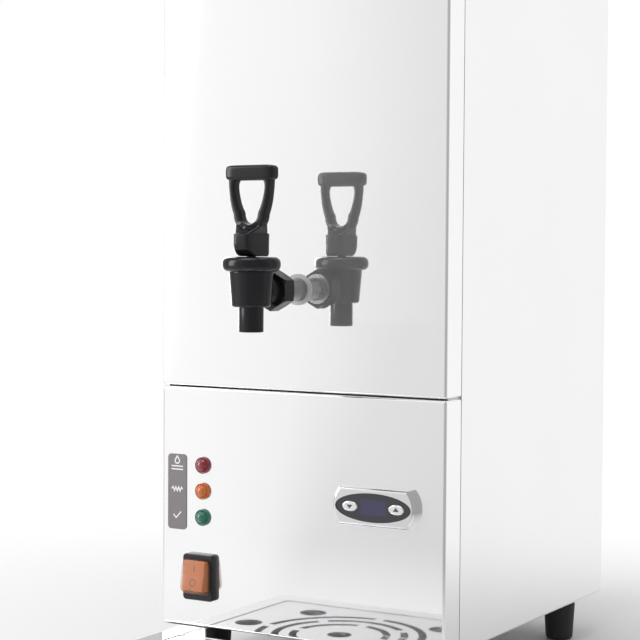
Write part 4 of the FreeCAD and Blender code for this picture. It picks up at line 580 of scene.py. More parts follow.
LAMINATED = Finish("laminated_core", (0.18, 0.18, 0.19), metallic=0.7, grain=Grain.BRUSHED_UP, scale=1900,
                   bump=0.4, depth=0.05)
TAP_BLACK = Finish("tap_black", (0.007, 0.0066, 0.0085), roughness=0.17, spread=0.03, tint=0.1, scale=1500,
                   bump=0.06, ior=1.42)
BLACK_MOULD = Finish("black_moulding", (0.012, 0.012, 0.013), roughness=0.34, spread=0.06, tint=0.1,
                     scale=2200, bump=0.16, depth=0.03)
RUBBER = Finish("foot_rubber", (0.013, 0.013, 0.014), roughness=0.62, spread=0.1, tint=0.15, scale=1300,
                bump=0.3, depth=0.05)
SILICONE = Finish("silicone", (0.74, 0.72, 0.68), roughness=0.42, spread=0.08, tint=0.05, scale=500,
                  transmission=0.25)
FIBRE = Finish("insulation_fibre", (0.66, 0.64, 0.56), roughness=0.95, spread=0.04, tint=0.2, scale=420,
               bump=0.9, depth=0.6)
WHITE_MOULD = Finish("white_moulding", (0.78, 0.78, 0.75), roughness=0.42, spread=0.06, scale=1500,
                     bump=0.12)
BOARD_GREEN = Finish("solder_mask", (0.02, 0.12, 0.04), roughness=0.32, spread=0.06, tint=0.25, scale=700,
                     bump=0.2, coat=0.4)
LABEL_GREY = Finish("label_grey", linear(128, 122, 124), roughness=0.36, tint=0.05, scale=2600, bump=0.12,
                    depth=0.01)
SYMBOL_WHITE = Finish("symbol_white", (0.86, 0.86, 0.86), roughness=0.45, tint=0.02, scale=2600, bump=0.08,
                      depth=0.01)
LAMP_RED = (linear(158, 48, 56), linear(104, 26, 36))
SYMBOL_DARK = Finish("symbol_dark", (0.05, 0.05, 0.055), roughness=0.4, scale=2600, bump=0.08, depth=0.01)
ROCKER_MARK = Finish("rocker_mark", linear(92, 42, 20), roughness=0.4, scale=2600, bump=0.08, depth=0.01)
ROCKER_ORANGE = Finish("rocker_orange", linear(232, 128, 52), roughness=0.3, spread=0.04, tint=0.08,
                       bump=0.05, transmission=0.05, glow=0.04)
BOOT_CLEAR = Finish("clear_boot", linear(200, 146, 116), roughness=0.26, tint=0.05, scale=800, bump=0.08,
                    alpha=0.3, coat=0.3, coat_roughness=0.12)


@dataclass(frozen=True)
class LampFinish:
    """A coloured lamp lens: a clear coat over colour that is broken up by small facets."""

    name: str
    colour: Colour
    deep: Colour
    facets: float = 620.0
    relief: float = 0.2
    relief_depth: float = 0.15
    roughness: float = 0.28
    coat: float = 0.7
    coat_roughness: float = 0.06
    transmission: float = 0.12
    glow: float = 0.05

    def build(self) -> bpy.types.Material:
        """Make the lens material: the cells of a Voronoi pattern give the facets' relief and the two colours.

        Returns:
            The material.
        """
        material, graph, sockets = new_material(self.name)
        cells = graph.node("TexVoronoi", {"Vector": graph.place(), "Scale": self.facets}).outputs["Distance"]
        values = {
            "Base Color": graph.colours(cells, self.colour, self.deep),
            "Roughness": self.roughness,
            "Normal": graph.bump(cells, self.relief, self.relief_depth).outputs["Normal"],
            "Transmission Weight": self.transmission,
            "Coat Weight": self.coat,
            "Coat Roughness": self.coat_roughness,
            "Emission Color": (*self.colour, 1),
            "Emission Strength": self.glow,
        }
        graph.fill(sockets, values)
        return material


@dataclass(frozen=True)
class DisplayFinish:
    """The smoked lens, with a lit blue window in its middle.

    The window is a soft box on the piece's own x and z: 1 where both distances from its middle are less
    than its half sizes, falling to 0 over its edge."""

    centre: tuple[float, float]
    half: tuple[float, float] = (10.5, 5.6)
    edge: float = 0.5
    smoke: Colour = (0.009, 0.008, 0.013)
    window: Colour = (0.016, 0.014, 0.05)
    roughness: float = 0.07
    coat_roughness: float = 0.02
    glow: float = 0.35

    def build(self) -> bpy.types.Material:
        """Make the lens material.

        Returns:
            The material.
        """
        material, graph, sockets = new_material("display_lens")
        split = graph.node("SeparateXYZ", {"Vector": graph.place()})
        insides = []
        for axis, middle, half in zip("XZ", self.centre, self.half):
            away = graph.math("ABSOLUTE", graph.math("SUBTRACT", split.outputs[axis], middle * MM))
            insides.append(graph.ramp(away, (half + self.edge) * MM, (half - self.edge) * MM))
        colour = graph.colours(graph.math("MULTIPLY", *insides), self.smoke, self.window)
        values = {
            "Base Color": colour,
            "Roughness": self.roughness,
            "Coat Weight": 1.0,
            "Coat Roughness": self.coat_roughness,
            "Emission Color": colour,
            "Emission Strength": self.glow,
        }
        graph.fill(sockets, values)
        return material


@functools.cache
def material_of(finish: Finish | LampFinish | DisplayFinish) -> bpy.types.Material:
    """Make a finish's material the first time that it is asked for.

    Args:
        finish: the finish.

    Returns:
        Its one material.
    """
    return finish.build()


def dress(piece: bpy.types.Object, finish: Finish | LampFinish | DisplayFinish) -> bpy.types.Object:
    """Give a piece one finish on every face.

    Args:
        piece: the piece.
        finish: its finish.

    Returns:
        The same piece.
    """
    piece.data.materials.clear()
    piece.data.materials.append(material_of(finish))
    return piece


def place_piece(piece: bpy.types.Object, body: str, slot: str, *nodes: str) -> None:
    """Say what a new piece rides on and what it stands for.

    Args:
        piece: the new piece.
        body: the body that it moves with.
        slot: not used.
        nodes: the CAD nodes that it shows in place of.
    """
    if nodes:
        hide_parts(*nodes)
    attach(piece, body)
    log.info("%s rides on %s, %d faces", piece.name, body, len(piece.data.polygons))


# Sub-assemblies


@dataclass
class Datum:
    """Planes that everything is placed from, read from the frame, in millimetres."""

    front: float = field(init=False)
    base: float = field(init=False)

    def __post_init__(self) -> None:
        """Read the front panel's plane and its bottom edge."""
        low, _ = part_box("lower_front_panel")
        self.front = low.y / MM
        self.base = low.z / MM


@dataclass
class Feet:
    """Four tapered rubber feet, each a profile turned about its screw."""

    datum: Datum
    top_r: float = 13.25
    tip_r: float = 11.25
    edge_r: float = 3.0
    bore_r: float = 3.05
    well_r: float = 6.0
    well_h: float = 9.0
    rib_up: float = 30.5
    centre_x: float = 102.5
    groove_r: float = 0.8
    top_edge: float = 0.7

    def outline(self) -> Points:
        """Draw a rounded tip, a straight taper, a shallow groove under the top, and the bore.

        Returns:
            The closed outline.
        """
        height, edge = self.datum.base, self.top_edge
        return profile(
            (self.well_r, 0),
            fillet((self.tip_r - self.edge_r, self.edge_r), self.edge_r, 270, 360),
            fillet((self.top_r - 0.1, self.rib_up), self.groove_r, 250, 110, 5),
            fillet((self.top_r - edge, height - edge), edge, 0, 90, 4),
            (self.bore_r, height), (self.bore_r, self.well_h), (self.well_r, self.well_h),
        )

    def build(self) -> None:
        """Make the four feet as one piece."""
        low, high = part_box("rubber_feet")
        ys = (low.y / MM + self.top_r, high.y / MM - self.top_r)
        places = [(side * self.centre_x, y) for side in (-1, 1) for y in ys]
        shells = [turned(self.outline(), np.array([x, y, 0.0]), closed=True) for x, y in places]
        piece = dress(mesh_piece("rubber_feet_moulded", shells), RUBBER)
        place_piece(piece, "casing", "foot_rubber", "rubber_feet")


@dataclass
class LeverTap:
    """The tap: a turned cup with its spout, a neck, a bonnet disc, and the lever handle on its cam."""

    datum: Datum
    reach: float = 63.5
    shank_up: float = 260.6
    bonnet_up: float = 274.5
    bonnet_h: float = 10.3
    bonnet_r: float = 20.75
    bonnet_edge: float = 4.4
    bonnet_dish: float = 0.25
    spout_r: float = 8.8
    spout_bore: float = 6.2
    spout_low: float = 231.6
    cup_low: float = 249.4
    cup_low_r: float = 12.0
    cup_edge: float = 1.9
    chamber_r: float = 12.0
    seat_r: float = 8.0
    seat_up: float = 255.0
    neck_r: float = 10.0
    cam_deep: float = 14.85
    stalk_deep: float = 4.4
    cam_gap: float = 0.3
    cam_front_r: float = 9.0
    cam_back_r: float = 3.0
    bar_half: float = 20.2
    bar_deep: float = 5.5
    ease_low: float = 15.0
    ease_span: float = 9.0
    loop_low: float = 22.9
    loop_floor: float = 6.5
    handle_h: float = 64.8
    bar_h: float = 11.2

    def origin(self) -> Points:
        """Find the tap's axis at the casing's bottom edge.

        Returns:
            The point.
        """
        return np.array([0.0, self.datum.front - self.reach, self.datum.base])

    def bonnet_top(self) -> Points:
        """Find the middle of the bonnet's upper face.

        Returns:
            The point.
        """
        return self.origin() + np.array([0, 0, self.bonnet_up + self.bonnet_h])

    def cup_outline(self) -> Points:
        """Draw the spout, shoulder, tapering cup and rim outside, then the chamber, seat and bore inside.

        Returns:
            The closed outline. Heights are above the casing's bottom edge.
        """
        spout, bore, low, edge = self.spout_r, self.spout_bore, self.spout_low, self.cup_edge
        rim, chamber_low = self.bonnet_up - 0.2, self.seat_up - 1.8
        return profile(
            (bore, low), fillet((spout - 0.7, low + 0.7), 0.7, 270, 360, 4),
            (spout, self.cup_low - 1.0), fillet((spout + 1.0, self.cup_low - 0.5), 1.0, 180, 110, 4),
            fillet((self.cup_low_r, self.cup_low + edge), edge, 270, 345, 6),
            (15.7, rim - 1.7), (15.9, rim - 0.9), (15.9, rim),
            (self.chamber_r, rim), (self.chamber_r, chamber_low), (self.seat_r, chamber_low),
            (self.seat_r, self.seat_up), (bore, self.seat_up),
        )

    def bonnet_outline(self) -> Points:
        """Draw a disc with bullnosed edges, a shallow dish round the stem, and its guide bore.

        Returns:
            The closed outline. Heights are above the casing's bottom edge.
        """
        low, high, r, edge = self.bonnet_up, self.bonnet_up + self.bonnet_h, self.bonnet_r, self.bonnet_edge
        dish = high - self.bonnet_dish
        return profile(
            (12.2, low), (r - edge, low), fillet((r - edge, low + edge), edge, 270, 360, 9),
            fillet((r - edge, high - edge), edge, 0, 90, 9), (16.2, high), (15.8, dish), (8.0, dish),
            (3.4, dish), (3.4, high - 4.0), (6.6, high - 4.0), (6.6, low - 5.5), (11.9, low - 5.5),
        )

    def cup(self) -> None:
        """Make the cup and the neck that runs back into the union nut."""
        origin, r = self.origin(), self.neck_r
        neck = profile(
            (9.4, 13.2), (10.6, 15.6), fillet((r + 1.4, 18.2), 1.4, 260, 180, 4),
            (r, 19.2), (r, 24.2), (9.9, 26.6),
        )
        shells = [
            turned(self.cup_outline(), origin, segments=96, closed=True),
            turned(neck, origin + np.array([0, 0, self.shank_up]), axis="Y", segments=72),
        ]
        place_piece(dress(mesh_piece("tap_cup", shells), TAP_BLACK), "casing", "tap_plastic", "tap_body")
        disc = turned(self.bonnet_outline(), origin, segments=96, closed=True)
        bonnet = dress(mesh_piece("tap_bonnet_disc", [disc]), TAP_BLACK)
        place_piece(bonnet, "casing", "tap_plastic", "tap_bonnet")

    def cam_shell(self) -> Shell:
        """Stack rounded boxes in height h for the cam and the stalk above it.

        The front has a ledge. Above it the depth is the fork's, and the width flares towards the arms.

        Returns:
            The shell, on the bonnet.
        """
        foot = self.cam_gap + self.cam_front_r * (1 - np.cos(np.linspace(0.12, np.pi / 2, 9)))
        body = np.array([12.0, 15.2, 15.9, 16.3, 16.5])
        neck = np.linspace(16.6, 22.4, 10)
        h = np.concatenate([foot, body, neck])
        up = h - self.cam_gap
        ledge = np.interp(h, [15.2, 15.9, 16.3, 16.5, 16.6], [0, 0.25, 0.7, 1.3, 2.0])
        in_neck = h > (body[-1] + neck[0]) / 2
        front = np.where(in_neck, self.fork_deep(h), self.cam_deep - set_back(up, self.cam_front_r) - ledge)
        back = np.where(in_neck, self.fork_deep(h), self.cam_deep - set_back(up, self.cam_back_r))
        wide = np.interp(h, [0, 16.6, 19.0, 21.0, 22.4], [6.6, 6.9, 8.6, 10.2, 11.0])
        ring = oval(wide, (front + back) / 2, 7.0)
        y = ring[..., 1] + ((back - front) / 2)[:, None]
        return skin(np.stack([ring[..., 0], y, 0 * y + h[:, None]], axis=-1) + self.bonnet_top())

    def fork_deep(self, h: Points) -> Points:
        """Work out half the fork's depth: deep over the cam, and easing to the slim arms by a cosine.

        Args:
            h: heights above the bonnet.

        Returns:
            The half depth at each height.
        """
        ease = 0.5 + 0.5 * np.cos(np.pi * np.clip((h - self.ease_low) / self.ease_span, 0, 1))
        return self.stalk_deep + (self.cam_deep - 2.0 - self.stalk_deep) * ease

    def fork_shell(self) -> Shell:
        """Carry a rounded section along a U for the two arms and the floor of the finger loop.

        The arm's outside half width at height h follows the flare, and its inside half width follows an egg.
        The path runs midway between them, and the section is as wide as the space between them.

        Returns:
            The shell, on the bonnet.
        """
        h = np.array([54.4, 52.0, 49.0, 45.0, 41.0, 37.0, 33.5, 30.5])
        outside = np.interp(h, [26.0, 30.5, 35.0, 41.0, 48.0, 54.4], [11.4, 13.4, 15.0, 16.2, 17.0, 17.6])
        inside = np.interp(h, [30.5, 33.5, 37.0, 41.0, 45.0, 49.0, 52.0, 54.4],
                           [6.9, 8.6, 10.0, 11.2, 12.1, 12.6, 12.3, 11.0])
        side = np.stack([(outside + inside) / 2, h], axis=-1)
        t = np.linspace(0, np.pi, 19)[1:-1]
        half = (outside - inside) / 2
        floor_low, floor_top = self.loop_low - self.loop_floor, self.loop_low
        reach, rise = side[-1, 0], side[-1, 1] - (floor_low + floor_top) / 2
        belly = np.stack([reach * np.cos(t), side[-1, 1] - rise * np.sin(t)], axis=-1)
        belly_half = half[-1] + ((floor_top - floor_low) / 2 - half[-1]) * np.sin(t)
        path = np.vstack([side, belly, (side * [-1, 1])[::-1]])
        halves = np.concatenate([half, belly_half, half[::-1]])
        way = np.gradient(path, axis=0)
        way /= np.linalg.norm(way, axis=1, keepdims=True)
        normal = np.stack([-way[:, 1], way[:, 0]], axis=-1)
        section = oval(halves, self.fork_deep(path[:, 1]), 4.0, 32)
        x = path[:, :1] + normal[:, :1] * section[..., 0]
        z = path[:, 1:] + normal[:, 1:] * section[..., 0]
        return skin(np.stack([x, section[..., 1], z], axis=-1) + self.bonnet_top())

    def bar_shell(self) -> Shell:
        """Carry rounded sections across for the bar. Its ends shrink by (1 - |x / half|^9)^(1/4).

        Returns:
            The shell, on the bonnet.
        """
        s = np.sin(np.linspace(-np.pi / 2, np.pi / 2, 41)) * 0.9995
        x = s * self.bar_half
        shrink = (1 - np.abs(s) ** 9) ** 0.25
        ring = oval(self.bar_deep * shrink, self.bar_h / 2 * shrink, 4.5, 40)
        z = ring[..., 1] + self.handle_h - self.bar_h / 2
        return skin(np.stack([0 * z + x[:, None], ring[..., 0], z], axis=-1) + self.bonnet_top())

    def handle(self) -> None:
        """Make the lever."""
        shells = [self.cam_shell(), self.fork_shell(), self.bar_shell()]
        piece = dress(mesh_piece("tap_lever_handle", shells, sharp=50), TAP_BLACK)
        place_piece(piece, "tap_lever", "handle_plastic", "tap_handle")

    def spring(self) -> None:
        """Make the closing spring: a round wire along a helix, (r cos t, r sin t, pitch t / 2 pi)."""
        low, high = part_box("tap_spring")
        wire, turns, per_turn = 0.5, 6, 24
        radius = (high.x - low.x) / 2 / MM - wire
        t = np.linspace(0, 2 * np.pi * turns, turns * per_turn + 1)
        z = np.linspace(low.z / MM + wire, high.z / MM - wire, len(t))
        centre = np.stack([radius * np.cos(t), radius * np.sin(t), z], axis=-1)
        out = np.stack([np.cos(t), np.sin(t), 0 * t], axis=-1)
        a = np.linspace(0, 2 * np.pi, 10, endpoint=False)
        grid = centre[:, None] + wire * (np.cos(a)[:, None] * out[:, None] + np.sin(a)[:, None] * [0, 0, 1])
        piece = dress(mesh_piece("tap_spring_coil", [skin(grid + [0, self.origin()[1], 0])]), BRIGHT_SCREW)
        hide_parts("tap_spring")
        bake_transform(piece)
        log.info("%s shortens between casing and tap_valve", piece.name)

    def build(self) -> None:
        """Make the tap's pieces."""
        self.cup()
        self.handle()
        self.spring()


@dataclass
class Lamps:
    """Three domed lamps beside a grey plate with a symbol for each."""

    datum: Datum
    x: float = -84.3
    ups: tuple[float, ...] = (124.8, 104.9, 84.7)
    radius: float = 6.5
    proud: float = 5.6
    symbol_x: float = -108.2
    plate_proud: float = 0.45
    stroke_w: float = 0.95
    stroke_deep: float = 0.12

    def lens_outline(self) -> Points:
        """Draw the stem's end, a rounded rim, a groove, and a dome of one arc up to its pole.

        Returns:
            The outline. Its heights run backwards from the panel's face.
        """
        dome_edge, dome_low = self.radius - 1.5, 2.0
        rise = self.proud - dome_low
        dome_r = (dome_edge ** 2 + rise ** 2) / (2 * rise)
        reach = math.degrees(math.asin(dome_edge / dome_r))
        dome = fillet((0.0, -self.proud + dome_r), dome_r, reach - 90, -89.0, 14)
        rim = fillet((self.radius - 0.7, -1.5), 0.7, 0, -180, 7)
        return profile((4.8, 5.8), (4.8, 0.0), (self.radius, 0.0), rim, dome)

    def lenses(self) -> None:
        """Make the three lenses, each in its colour."""
        colours = {
            "red": LAMP_RED,
            "amber": (linear(220, 122, 52), linear(176, 84, 30)),
            "green": (linear(46, 128, 106), linear(22, 88, 74)),
        }
        for up, (name, (light, deep)) in zip(self.ups, colours.items()):
            centre = np.array([self.x, self.datum.front, self.datum.base + up])
            piece = mesh_piece(f"lamp_{name}", [turned(self.lens_outline(), centre, axis="Y", segments=48)])
            place_piece(dress(piece, LampFinish(f"lamp_{name}_lens", light, deep)), "casing", "lamp_lens",
                        "lamp_lenses")

    def symbols(self) -> None:
        """Make the plate's symbols: a drop over a level line, a heater's zigzag, and a tick."""
        half_drop = [(1.9, 2.6), (2.1, 1.3), (1.2, 0.2)]
        drop = [(0.0, 5.6), *half_drop, (0.0, -0.1), *((-x, z) for x, z in reversed(half_drop))]
        peaks = np.stack([np.linspace(-5.2, 5.2, 9), 1.5 * np.array([0, 1, -1, 1, -1, 1, -1, 1, 0])], axis=-1)
        marks = {
            0: [(drop, True), ([(-5.4, -2.2), (5.4, -2.2)], False), ([(-5.4, -4.6), (5.4, -4.6)], False)],
            1: [(peaks, False)],
            2: [([(-3.4, 0.4), (-1.0, -2.2), (3.6, 2.8)], False)],
        }
        shells = []
        for row, strokes in marks.items():
            face = self.datum.front - self.plate_proud
            at = np.array([self.symbol_x, face, self.datum.base + self.ups[row]])
            for path, loop in strokes:
                shells.append(stroke(path, self.stroke_w, self.stroke_deep, at, closed=loop))
        piece = dress(mesh_piece("plate_symbols", shells), SYMBOL_WHITE)
        place_piece(piece, "casing", "label_grey")

    def build(self) -> None:
        """Make the lamps and the symbols."""
        self.lenses()
        self.symbols()


@dataclass
class Switch:
    """The rocker's marks and the clear boot that covers it."""

    datum: Datum
    x: float = -86.0
    up: float = 38.75
    pivot_back: float = 2.0
    lean: float = 10.0
    reach: float = 13.2
    rocker_h: float = 22.6
    frame_proud: float = 5.0
    foot: tuple[float, float] = (11.25, 13.5)
    front: tuple[float, float] = (11.25, 12.55)
    front_edge: float = 2.2
    wall: float = 0.8
    gap: float = 0.45
    bend_root: float = 7.5
    bend_end: float = 12.0
    mark_up: float = 5.4
    mark_half: float = 2.6

    def pivot(self) -> Points:
        """Find the rocker's axis.

        Returns:
            Its middle.
        """
        return np.array([self.x, self.datum.front + self.pivot_back, self.datum.base + self.up])

    def leaned(self, grid: Points, degrees: Points) -> Points:
        """Turn points about the pivot's X axis, with their top going backwards.

        Args:
            grid: rows of points, from the pivot.
            degrees: the angle of each row.

        Returns:
            The turned points, in the row frame.
        """
        a = np.radians(degrees)[:, None]
        y = grid[..., 1] * np.cos(a) + grid[..., 2] * np.sin(a)
        z = grid[..., 2] * np.cos(a) - grid[..., 1] * np.sin(a)
        return np.stack([grid[..., 0], y, z], axis=-1) + self.pivot()

    def wall_rings(self, inset: float) -> Points:
        """Draw rings of the boot's wall from its foot to the middle of its front, with a rounded front edge.

        Args:
            inset: how far inside the outer wall they run.

        Returns:
            The rings, in the row frame.
        """
        start = self.frame_proud + self.pivot_back
        stop = self.reach + self.gap + self.wall - inset
        edge = self.front_edge
        up = np.linspace(0, 1, 8)
        bend = np.linspace(0.0, np.pi / 2, 7)[1:]
        sides = start + (stop - edge - start) * up
        out = np.concatenate([sides, stop - edge + edge * np.sin(bend), np.full(4, stop)])
        pull = np.concatenate([np.zeros(8), edge * (1 - np.cos(bend)), edge + np.array([3.0, 6.0, 8.0, 8.8])])
        share = np.clip((out - start) / (stop - start), 0, 1)
        half_x = self.foot[0] + (self.front[0] - self.foot[0]) * share - inset - pull
        half_z = self.foot[1] + (self.front[1] - self.foot[1]) * share - inset - pull
        ring = oval(np.maximum(half_x, 0.05), np.maximum(half_z, 0.05), 7.0, 56)
        grid = np.stack([ring[..., 0], -out[:, None] + 0 * ring[..., 0], ring[..., 1]], axis=-1)
        return self.leaned(grid, self.lean * share)

    def boot(self) -> None:
        """Make the boot: its outer wall down to the foot and its inner wall back up, as one closed skin."""
        outer = self.wall_rings(0.0)
        inner = self.wall_rings(self.wall)
        grid = np.vstack([outer[::-1], inner])
        piece = dress(mesh_piece("switch_boot_clear", [skin(grid)]), BOOT_CLEAR)
        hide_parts("switch_boot")
        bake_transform(piece)
        log.info("%s bends from casing to rocker", piece.name)

    def marks(self) -> None:
        """Make the rocker's marks, I above and O below, on its two leaning flats."""
        dish = math.degrees(math.atan2(1.0, self.rocker_h / 2))
        shells = []
        half, up = self.mark_half, self.mark_up
        for path, height, closed, side in (
            ([(0, -half), (0, half)], up, False, 1),
            (circle_path(half), -up, True, -1),
        ):
            out = self.reach - 1.0 + abs(height) / (self.rocker_h / 2) + 0.02
            a = math.radians(self.lean)
            y = -out * math.cos(a) + height * math.sin(a)
            z = height * math.cos(a) + out * math.sin(a)
            at = self.pivot() + np.array([0, y, z])
            shells.append(stroke(path, 0.9, 0.14, at, turn=self.lean - side * dish, closed=closed))
        piece = dress(mesh_piece("rocker_marks", shells), ROCKER_MARK)
        place_piece(piece, "rocker", "white_plastic")

    def build(self) -> None:
        """Make the boot and the marks."""
        self.boot()
        self.marks()


@dataclass
class Display:
    """The arrows on the display's two buttons."""

    datum: Datum
    x: float = 68.0
    up: float = 105.0
    pitch: float = 19.0

    def build(self) -> None:
        """Make a triangle for each button, pointing down on the left and up on the right."""
        for side, way in ((-1, "down"), (1, "up")):
            node = f"display_button_{way}"
            low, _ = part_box(node)
            at = np.array([self.x + side * self.pitch, low.y / MM + 0.02, self.datum.base + self.up])
            outline = [(-1.35, -0.6 * side), (0.0, 1.0 * side), (1.35, -0.6 * side)]
            shells = [stroke(outline, 1.0, 0.08, at, closed=True)]
            piece = dress(mesh_piece(f"arrow_{way}", shells), SYMBOL_DARK)
            place_piece(piece, f"button_{way}", "chrome_plastic")


class CadFinishes:
    """The finish of every CAD node that stays as it is."""

    TABLE: dict[Finish, tuple[str, ...]] = {
        POLISHED: ("upper_front_panel", "lower_front_panel"),
        SATIN_SIDE: ("side_panel_left", "side_panel_right", "rear_panel"),
        SATIN_TOP: ("top_cover",),
        TRAY_STEEL: ("drip_tray_pan",),
        GRILLE_STEEL: ("drip_grille",),
        PLATED: ("base_chassis", "front_posts", "tank_shelf"),
        TANK_STEEL: ("tank_shell", "tank_lid"),
        BRIGHT_SCREW: ("foot_screws", "panel_screws", "lid_screws", "temperature_probe", "level_probes",
                       "handle_pin", "tap_spring"),
        SHANK_STEEL: ("tap_shank",),
        CLEAR_WASHER: ("tap_washer",),
        CHROME: ("display_bezel",),
        BUTTON_CHROME: ("display_button_down", "display_button_up"),
        BRASS: ("element_bushes",),
        ELEMENT_ALLOY: ("heating_element",),
        LAMINATED: ("transformer", "valve_plunger"),
        TAP_BLACK: ("tap_body", "tap_union_nut", "tap_shank_nut", "tap_bonnet", "tap_handle"),
        BLACK_MOULD: ("overheat_cutout", "valve_coil", "cable_gland", "lock_nuts", "tap_stem", "lamp_holders",
                      "switch_body", "display_housing"),
        RUBBER: ("rubber_feet",),
        SILICONE: ("lid_gasket", "fill_hose", "overflow_hose", "tap_coupling", "seat_cup"),
        FIBRE: ("tank_insulation",),
        WHITE_MOULD: ("probe_insulators", "inlet_valve", "overflow_fitting", "board_standoffs",
                      "terminal_block"),
        BOARD_GREEN: ("control_board",),
        LABEL_GREY: ("label_plate",),
        ROCKER_ORANGE: ("switch_rocker",),
        BOOT_CLEAR: ("switch_boot",),
    }

    def apply(self) -> None:
        """Dress every node, and the display's lens and the lamps with finishes of their own."""
        nodes = frame["nodes"]
        for finish, names in self.TABLE.items():
            for name in names:
                dress(nodes[name], finish)
        low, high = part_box("display_lens")
        middle = ((low.x + high.x) / 2 / MM, (low.z + high.z) / 2 / MM)
        dress(nodes["display_lens"], DisplayFinish(middle))
        dress(nodes["lamp_lenses"], LampFinish("lamp_spare", *LAMP_RED))
        left = sorted(set(nodes) - {n for names in self.TABLE.values() for n in names}
                      - {"display_lens", "lamp_lenses"})
        log.info("nodes with no finish: %s", left)


# Stage


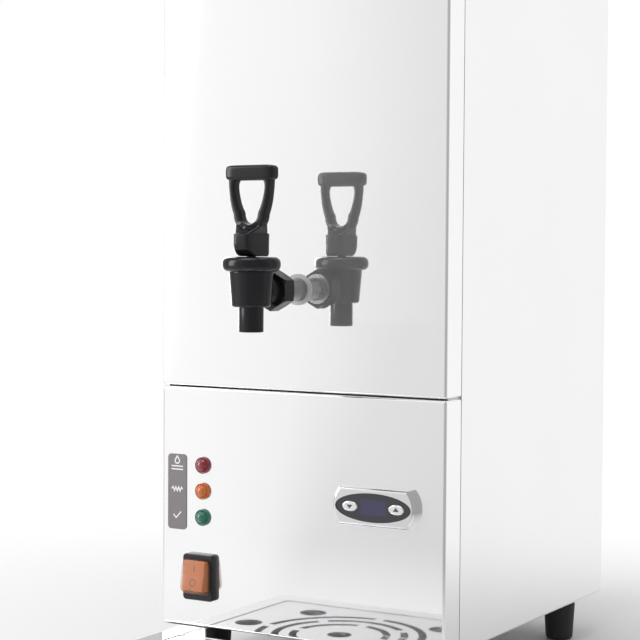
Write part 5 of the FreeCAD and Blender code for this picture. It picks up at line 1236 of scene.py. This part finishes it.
@dataclass
class Studio:
    """The pale floor, the white surroundings, the lamps and the camera."""

    datum: Datum
    azimuth: float = 30.728
    elevation: float = 2.344
    roll: float = 0.344
    lens: float = 98.52
    eye: tuple[float, float, float] = (673.76, -1101.83, 291.11)
    floor_half: float = 6.0
    floor_drop: float = 0.0004
    shadow_end: float = 0.22
    white_start: float = 0.75
    aim_forward: float = 60.0
    aim_up: float = 0.28
    sensor: float = 36.0
    near_clip: float = 0.01
    FLOOR = {"Base Color": (0.93, 0.93, 0.93, 1), "Roughness": 0.8, "Specular IOR Level": 0.1}
    FILL = 0.62
    STOPS = (
        (-180, 0.9), (-160, 0.7), (-130, 0.5), (-78, 0.4), (-58, 0.9), (-36, 1.0), (-31, 0.92), (-27, 0.76),
        (-15, 0.68), (0, 0.55), (12, 0.4), (70, 0.36), (100, 0.45), (125, 0.85), (150, 1.0), (180, 0.9),
    )

    def camera(self) -> None:
        """Put the camera where the photograph was taken from.

        Its back points along (sin a cos e, -cos a cos e, sin e), and its right and up axes are turned by the
        roll about that."""
        a, e, r = (math.radians(v) for v in (self.azimuth, self.elevation, self.roll))
        back = Vector((math.sin(a) * math.cos(e), -math.cos(a) * math.cos(e), math.sin(e)))
        level = Vector((math.cos(a), math.sin(a), 0.0))
        rise = back.cross(level)
        right = level * math.cos(r) + rise * math.sin(r)
        up = back.cross(right)
        data = bpy.data.cameras.new("view")
        data.lens = self.lens
        data.sensor_width = self.sensor
        data.clip_start = self.near_clip
        camera = bpy.data.objects.new("view", data)
        turn = Matrix((right, up, back)).transposed().to_4x4()
        eye = Vector(self.eye) + Vector((0, self.datum.front, self.datum.base))
        camera.matrix_world = Matrix.Translation(eye * MM) @ turn
        bpy.context.scene.collection.objects.link(camera)
        bpy.context.scene.camera = camera

    def tone(self, graph: Graph, direction: Socket) -> Socket:
        """Make the tone that polished steel shows at a bearing.

        The bearing is the angle of a direction about Z: 0 towards the urn's front, positive to its right.
        The tone is darker at the front right, where the bends turn, and bright behind, at the left and at
        the far right.

        Args:
            graph: the nodes to add to.
            direction: the direction or the place whose bearing counts.

        Returns:
            The colour output.
        """
        split = graph.node("SeparateXYZ", {"Vector": direction})
        forward = graph.math("MULTIPLY", split.outputs["Y"], -1.0)
        bearing = graph.math("ARCTAN2", split.outputs["X"], forward)
        ramp = graph.node("ValToRGB", {"Fac": graph.ramp(bearing, -math.pi, math.pi)})
        elements = ramp.color_ramp.elements
        while len(elements) < len(self.STOPS):
            elements.new(0.5)
        for element, (angle, tone) in zip(elements, self.STOPS):
            element.position = (angle + 180) / 360
            element.color = (tone, tone, tone, 1)
        return ramp.outputs["Color"]

    def floor(self) -> None:
        """Lay a pale floor that takes the shadow near the urn and is as white as the background further off.

        In polished steel its far part shows the same tone as the surroundings, so no horizon shows there. Its
        glow has strength 1 for seen, mirrored and transmitted rays. Diffuse and shadow rays don't meet it."""
        half = self.floor_half
        mesh = bpy.data.meshes.new("floor")
        corners = [(-half, -half, 0), (half, -half, 0), (half, half, 0), (-half, half, 0)]
        mesh.from_pydata(corners, [], [(0, 1, 2, 3)])
        floor = bpy.data.objects.new("floor", mesh)
        floor.location = (0, 0, -self.floor_drop)
        bpy.context.scene.collection.objects.link(floor)
        material, graph, sockets = new_material("studio_floor")
        graph.fill(sockets, self.FLOOR)
        place = graph.place()
        rays = graph.node("LightPath").outputs
        lit = graph.math("SUBTRACT", 1.0, rays["Is Shadow Ray"])
        white = graph.node("Emission", {"Color": (1, 1, 1, 1), "Strength": lit})
        studio = graph.node("Emission", {"Color": self.tone(graph, place), "Strength": lit})
        far = graph.mixed(rays["Is Glossy Ray"], white.outputs[0], studio.outputs[0])
        away = graph.node("VectorMath", {0: place}, operation="LENGTH").outputs["Value"]
        spread = graph.ramp(away, self.shadow_end, self.white_start, interpolation_type="SMOOTHSTEP")
        seen = graph.math("SUBTRACT", 1.0, rays["Is Diffuse Ray"])
        near = material.node_tree.nodes["Principled BSDF"].outputs["BSDF"]
        whole = graph.mixed(graph.math("MULTIPLY", spread, seen), near, far)
        graph.put(material.node_tree.nodes["Material Output"].inputs["Surface"], whole)
        mesh.materials.append(material)

    def surroundings(self) -> None:
        """Make the world white to the eye, a soft grey as light, and the studio's tones in mirror images."""
        world = bpy.data.worlds.new("studio")
        bpy.context.scene.world = world
        world.use_nodes = True
        world.node_tree.nodes.clear()
        graph = Graph(world.node_tree)
        rays = graph.node("LightPath").outputs
        direction = graph.node("TexCoord").outputs["Generated"]
        fill = graph.node("Background", {"Color": (self.FILL, self.FILL, self.FILL, 1)})
        white = graph.node("Background", {"Color": (1, 1, 1, 1)})
        studio = graph.node("Background", {"Color": self.tone(graph, direction)})
        mirrored = graph.mixed(rays["Is Glossy Ray"], fill.outputs[0], studio.outputs[0])
        direct = graph.math("MAXIMUM", rays["Is Camera Ray"], rays["Is Transmission Ray"])
        graph.node("OutputWorld", {"Surface": graph.mixed(direct, mirrored, white.outputs[0])})

    def lamp(self, name: str, bearing: float, height: float, distance: float, size: tuple[float, float],
             power: float) -> None:
        """Put up a soft rectangular lamp that faces the tap.

        Args:
            name: the lamp's name.
            bearing: degrees about Z, 0 in front of the urn and positive to its right.
            height: metres above the floor.
            distance: metres from the urn's middle.
            size: width and height in metres.
            power: watts.
        """
        data = bpy.data.lights.new(name, "AREA")
        data.shape = "RECTANGLE"
        data.size, data.size_y = size
        data.energy = power
        lamp = bpy.data.objects.new(name, data)
        a = math.radians(bearing)
        spot = Vector((distance * math.sin(a), -distance * math.cos(a), height))
        aim = Vector((0.0, (self.datum.front - self.aim_forward) * MM, self.aim_up)) - spot
        lamp.matrix_world = Matrix.Translation(spot) @ aim.to_track_quat("-Z", "Y").to_matrix().to_4x4()
        bpy.context.scene.collection.objects.link(lamp)

    def build(self) -> None:
        """Make the whole stage."""
        self.camera()
        self.floor()
        self.surroundings()
        self.lamp("left_softbox", -49, 0.72, 1.7, (0.78, 1.3), 14.0)
        self.lamp("top_softbox", -10, 2.1, 0.5, (1.2, 1.2), 9.0)
        bpy.context.scene.view_settings.view_transform = "Standard"


def main() -> None:
    """Build the stage, the finishes and every new piece."""
    logging.basicConfig(level=logging.INFO, format="%(name)s: %(message)s")
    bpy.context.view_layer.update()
    datum = Datum()
    Studio(datum).build()
    CadFinishes().apply()
    for assembly in (Feet(datum), LeverTap(datum), Lamps(datum), Switch(datum), Display(datum)):
        assembly.build()


if __name__ == "__main__":
    main()
